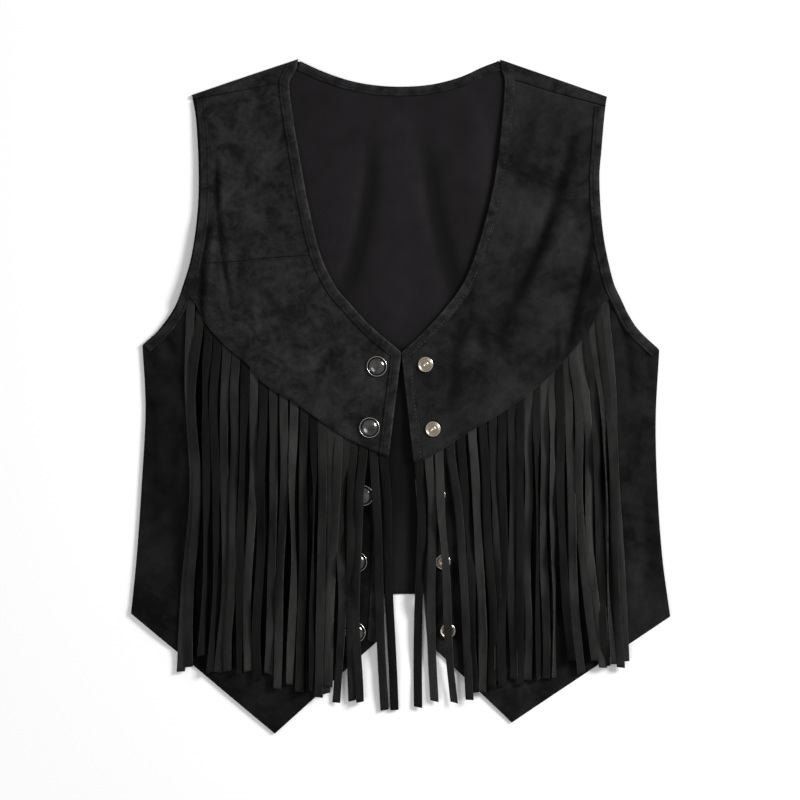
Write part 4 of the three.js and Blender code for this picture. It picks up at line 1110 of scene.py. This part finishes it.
def snap_row(name, side, places, profiles, materials):
    """Snaps seated down one front. A profile comes with its material's number."""
    made = []
    for number, (x, y) in enumerate(places, 1):
        z = snap_seat(side, x, y)
        parts = [turned_part(profile, x, y, z, material) for profile, material in profiles]
        made.append(make(f"{name}_{number}", parts, materials))
        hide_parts(f"snap_{name}_{number}")
    return made


def make_snaps():
    cap = ((RIM_PROFILE, 1), (DOME_PROFILE, 0), (GROOVE_PROFILE, 2))
    stud = ((STUD_PROFILE, 0), (STUD_FLOOR, 1), (POST_PROFILE, 0))
    caps = snap_row("cap", right, CAPS, cap, [gunmetal, silver, groove])
    return caps + snap_row("stud", left, STUDS, stud, [nickel, nickel_recess_shade])


# Sewing on the panels
def make_sewing():
    """The rows of stitches that aren't on a band, one piece for each panel they are on."""
    rows = {"yoke_right": [], "yoke_left": [], "front_right": [], "front_left": [], "back": []}
    for name, side in (("right", right), ("left", left)):
        on_yoke = lambda x, y, s=side: s.yoke_under(x, y) + CLOTH + seam_swell(s)(x, y) + 0.1
        line = sewing_line(side.yoke_seam, YOKE_STITCHES[0], -side.sign, on_yoke, 0.03, 0.985)
        rows["yoke_" + name].append(line)
        if side is right:
            rows["yoke_right"].append(sewing_line(side.yoke_seam, YOKE_STITCHES[1], 1, on_yoke, 0.03, 0.4))
        on_front = lambda x, y, s=side: s.under(x, y) + CLOTH + 0.3
        for end in (side.side[0], side.hem):
            hem = edge([side.point, end])
            toward = 1 if (end[0] > side.point[0]) else -1
            rows["front_" + name].append(sewing_line(hem, HEM_WIDTH, toward, on_front, 0.03, 0.98))
    cross = lambda x, y: right.yoke_under(x, y) + CLOTH + 0.1
    rows["yoke_right"].append(sewing_line(edge(CROSS_SEAM), 1.6, -1, cross, 0.05, 0.95))
    rows["back"].append(sewing_line(edge(BACK_HEM), 8.5, 1, lambda x, y: back_top(x, y) + 0.1, 0.01, 0.99))
    made = {}
    for name, parts in rows.items():
        made[name] = make(name + "_stitches", parts, [thread])
    return made


# Stage
def make_floor():
    mesh = bpy.data.meshes.new("floor")
    size, depth = 3.0, -0.0004
    corners = [(-size, -size, depth), (size, -size, depth), (size, size, depth), (-size, size, depth)]
    mesh.from_pydata(corners, [], [(0, 1, 2, 3)])
    made, _, _ = blank("floor_white", {"Base Color": (0.98, 0.98, 0.98, 1), "Roughness": 0.8,
                                       "Specular IOR Level": 0.0})
    mesh.materials.append(made)
    floor = bpy.data.objects.new("floor", mesh)
    bpy.context.scene.collection.objects.link(floor)


def area_light(name, place, size, power):
    """A round soft light that faces the vest."""
    data = bpy.data.lights.new(name, "AREA")
    data.shape = "DISK"
    data.size = size
    data.energy = power
    lamp = bpy.data.objects.new(name, data)
    lamp.location = place
    way = -np.array(place, float)
    lamp.rotation_euler = (math.atan2(math.hypot(way[0], way[1]), -way[2]), 0,
                           math.atan2(way[1], way[0]) - math.pi / 2)
    bpy.context.scene.collection.objects.link(lamp)


PHOTO_SIZE = 800
PIXEL = 0.84
PHOTO_CENTRE = ((400 - 400.75) * PIXEL, (396 - 400) * PIXEL)
LENS = 85
SENSOR = 36


def make_camera():
    data = bpy.data.cameras.new("camera")
    data.lens = LENS
    data.sensor_width = SENSOR
    data.clip_end = 20
    camera = bpy.data.objects.new("camera", data)
    distance = PHOTO_SIZE * PIXEL * LENS / SENSOR
    camera.location = (PHOTO_CENTRE[0] * MM, PHOTO_CENTRE[1] * MM, (distance + 5) * MM)
    bpy.context.scene.collection.objects.link(camera)
    bpy.context.scene.camera = camera


def make_light():
    world = bpy.data.worlds.new("studio")
    world.use_nodes = True
    world.node_tree.nodes["Background"].inputs["Color"].default_value = (1, 1, 1, 1)
    world.node_tree.nodes["Background"].inputs["Strength"].default_value = 0.40
    bpy.context.scene.world = world
    bpy.context.scene.view_settings.view_transform = "Standard"
    area_light("key", (1.5, 0.8, 1.25), 0.7, 44)
    area_light("fill", (-1.0, -0.7, 1.5), 1.0, 8)


make_camera()
make_light()
make_floor()
back, back_x, back_y = make_back()
yokes = make_yokes()
# Painted shade: the lower fronts' colour is scaled down, the right front's more, on the side away from the
# key light
fronts = {
    "right": lower_front("front_right", right, ARMHOLE_RIGHT, 0.45),
    "left": lower_front("front_left", left, ARMHOLE_LEFT, 0.72),
}
bands = make_bands()
fringes = {
    "right": make_fringe("fringe_right", right, STRANDS_RIGHT, 11),
    "left": make_fringe("fringe_left", left, STRANDS_LEFT, 23),
}
snaps = make_snaps()
sewing = make_sewing()

declare_cut(back, back_x, back_y, ["floor"], [bands["back_neck"], sewing["back"]])
declare_cut(*yokes["right_lower"], ["front_right_cloth", "back_cloth"],
            [bands["neck_right"], sewing["yoke_right"], *snaps[0:2]])
declare_cut(*yokes["right_upper"], ["back_cloth"])
declare_cut(*yokes["left"], ["front_left_cloth", "back_cloth"],
            [bands["neck_left"], bands["armhole_left"], sewing["yoke_left"], *snaps[5:7]])
declare_cut(*fronts["right"], ["back_cloth"],
            [bands["front_right"], bands["armhole_right"], fringes["right"], sewing["front_right"],
             *snaps[2:5]])
declare_cut(*fronts["left"], ["back_cloth"],
            [bands["front_left"], fringes["left"], sewing["front_left"], *snaps[7:10]])
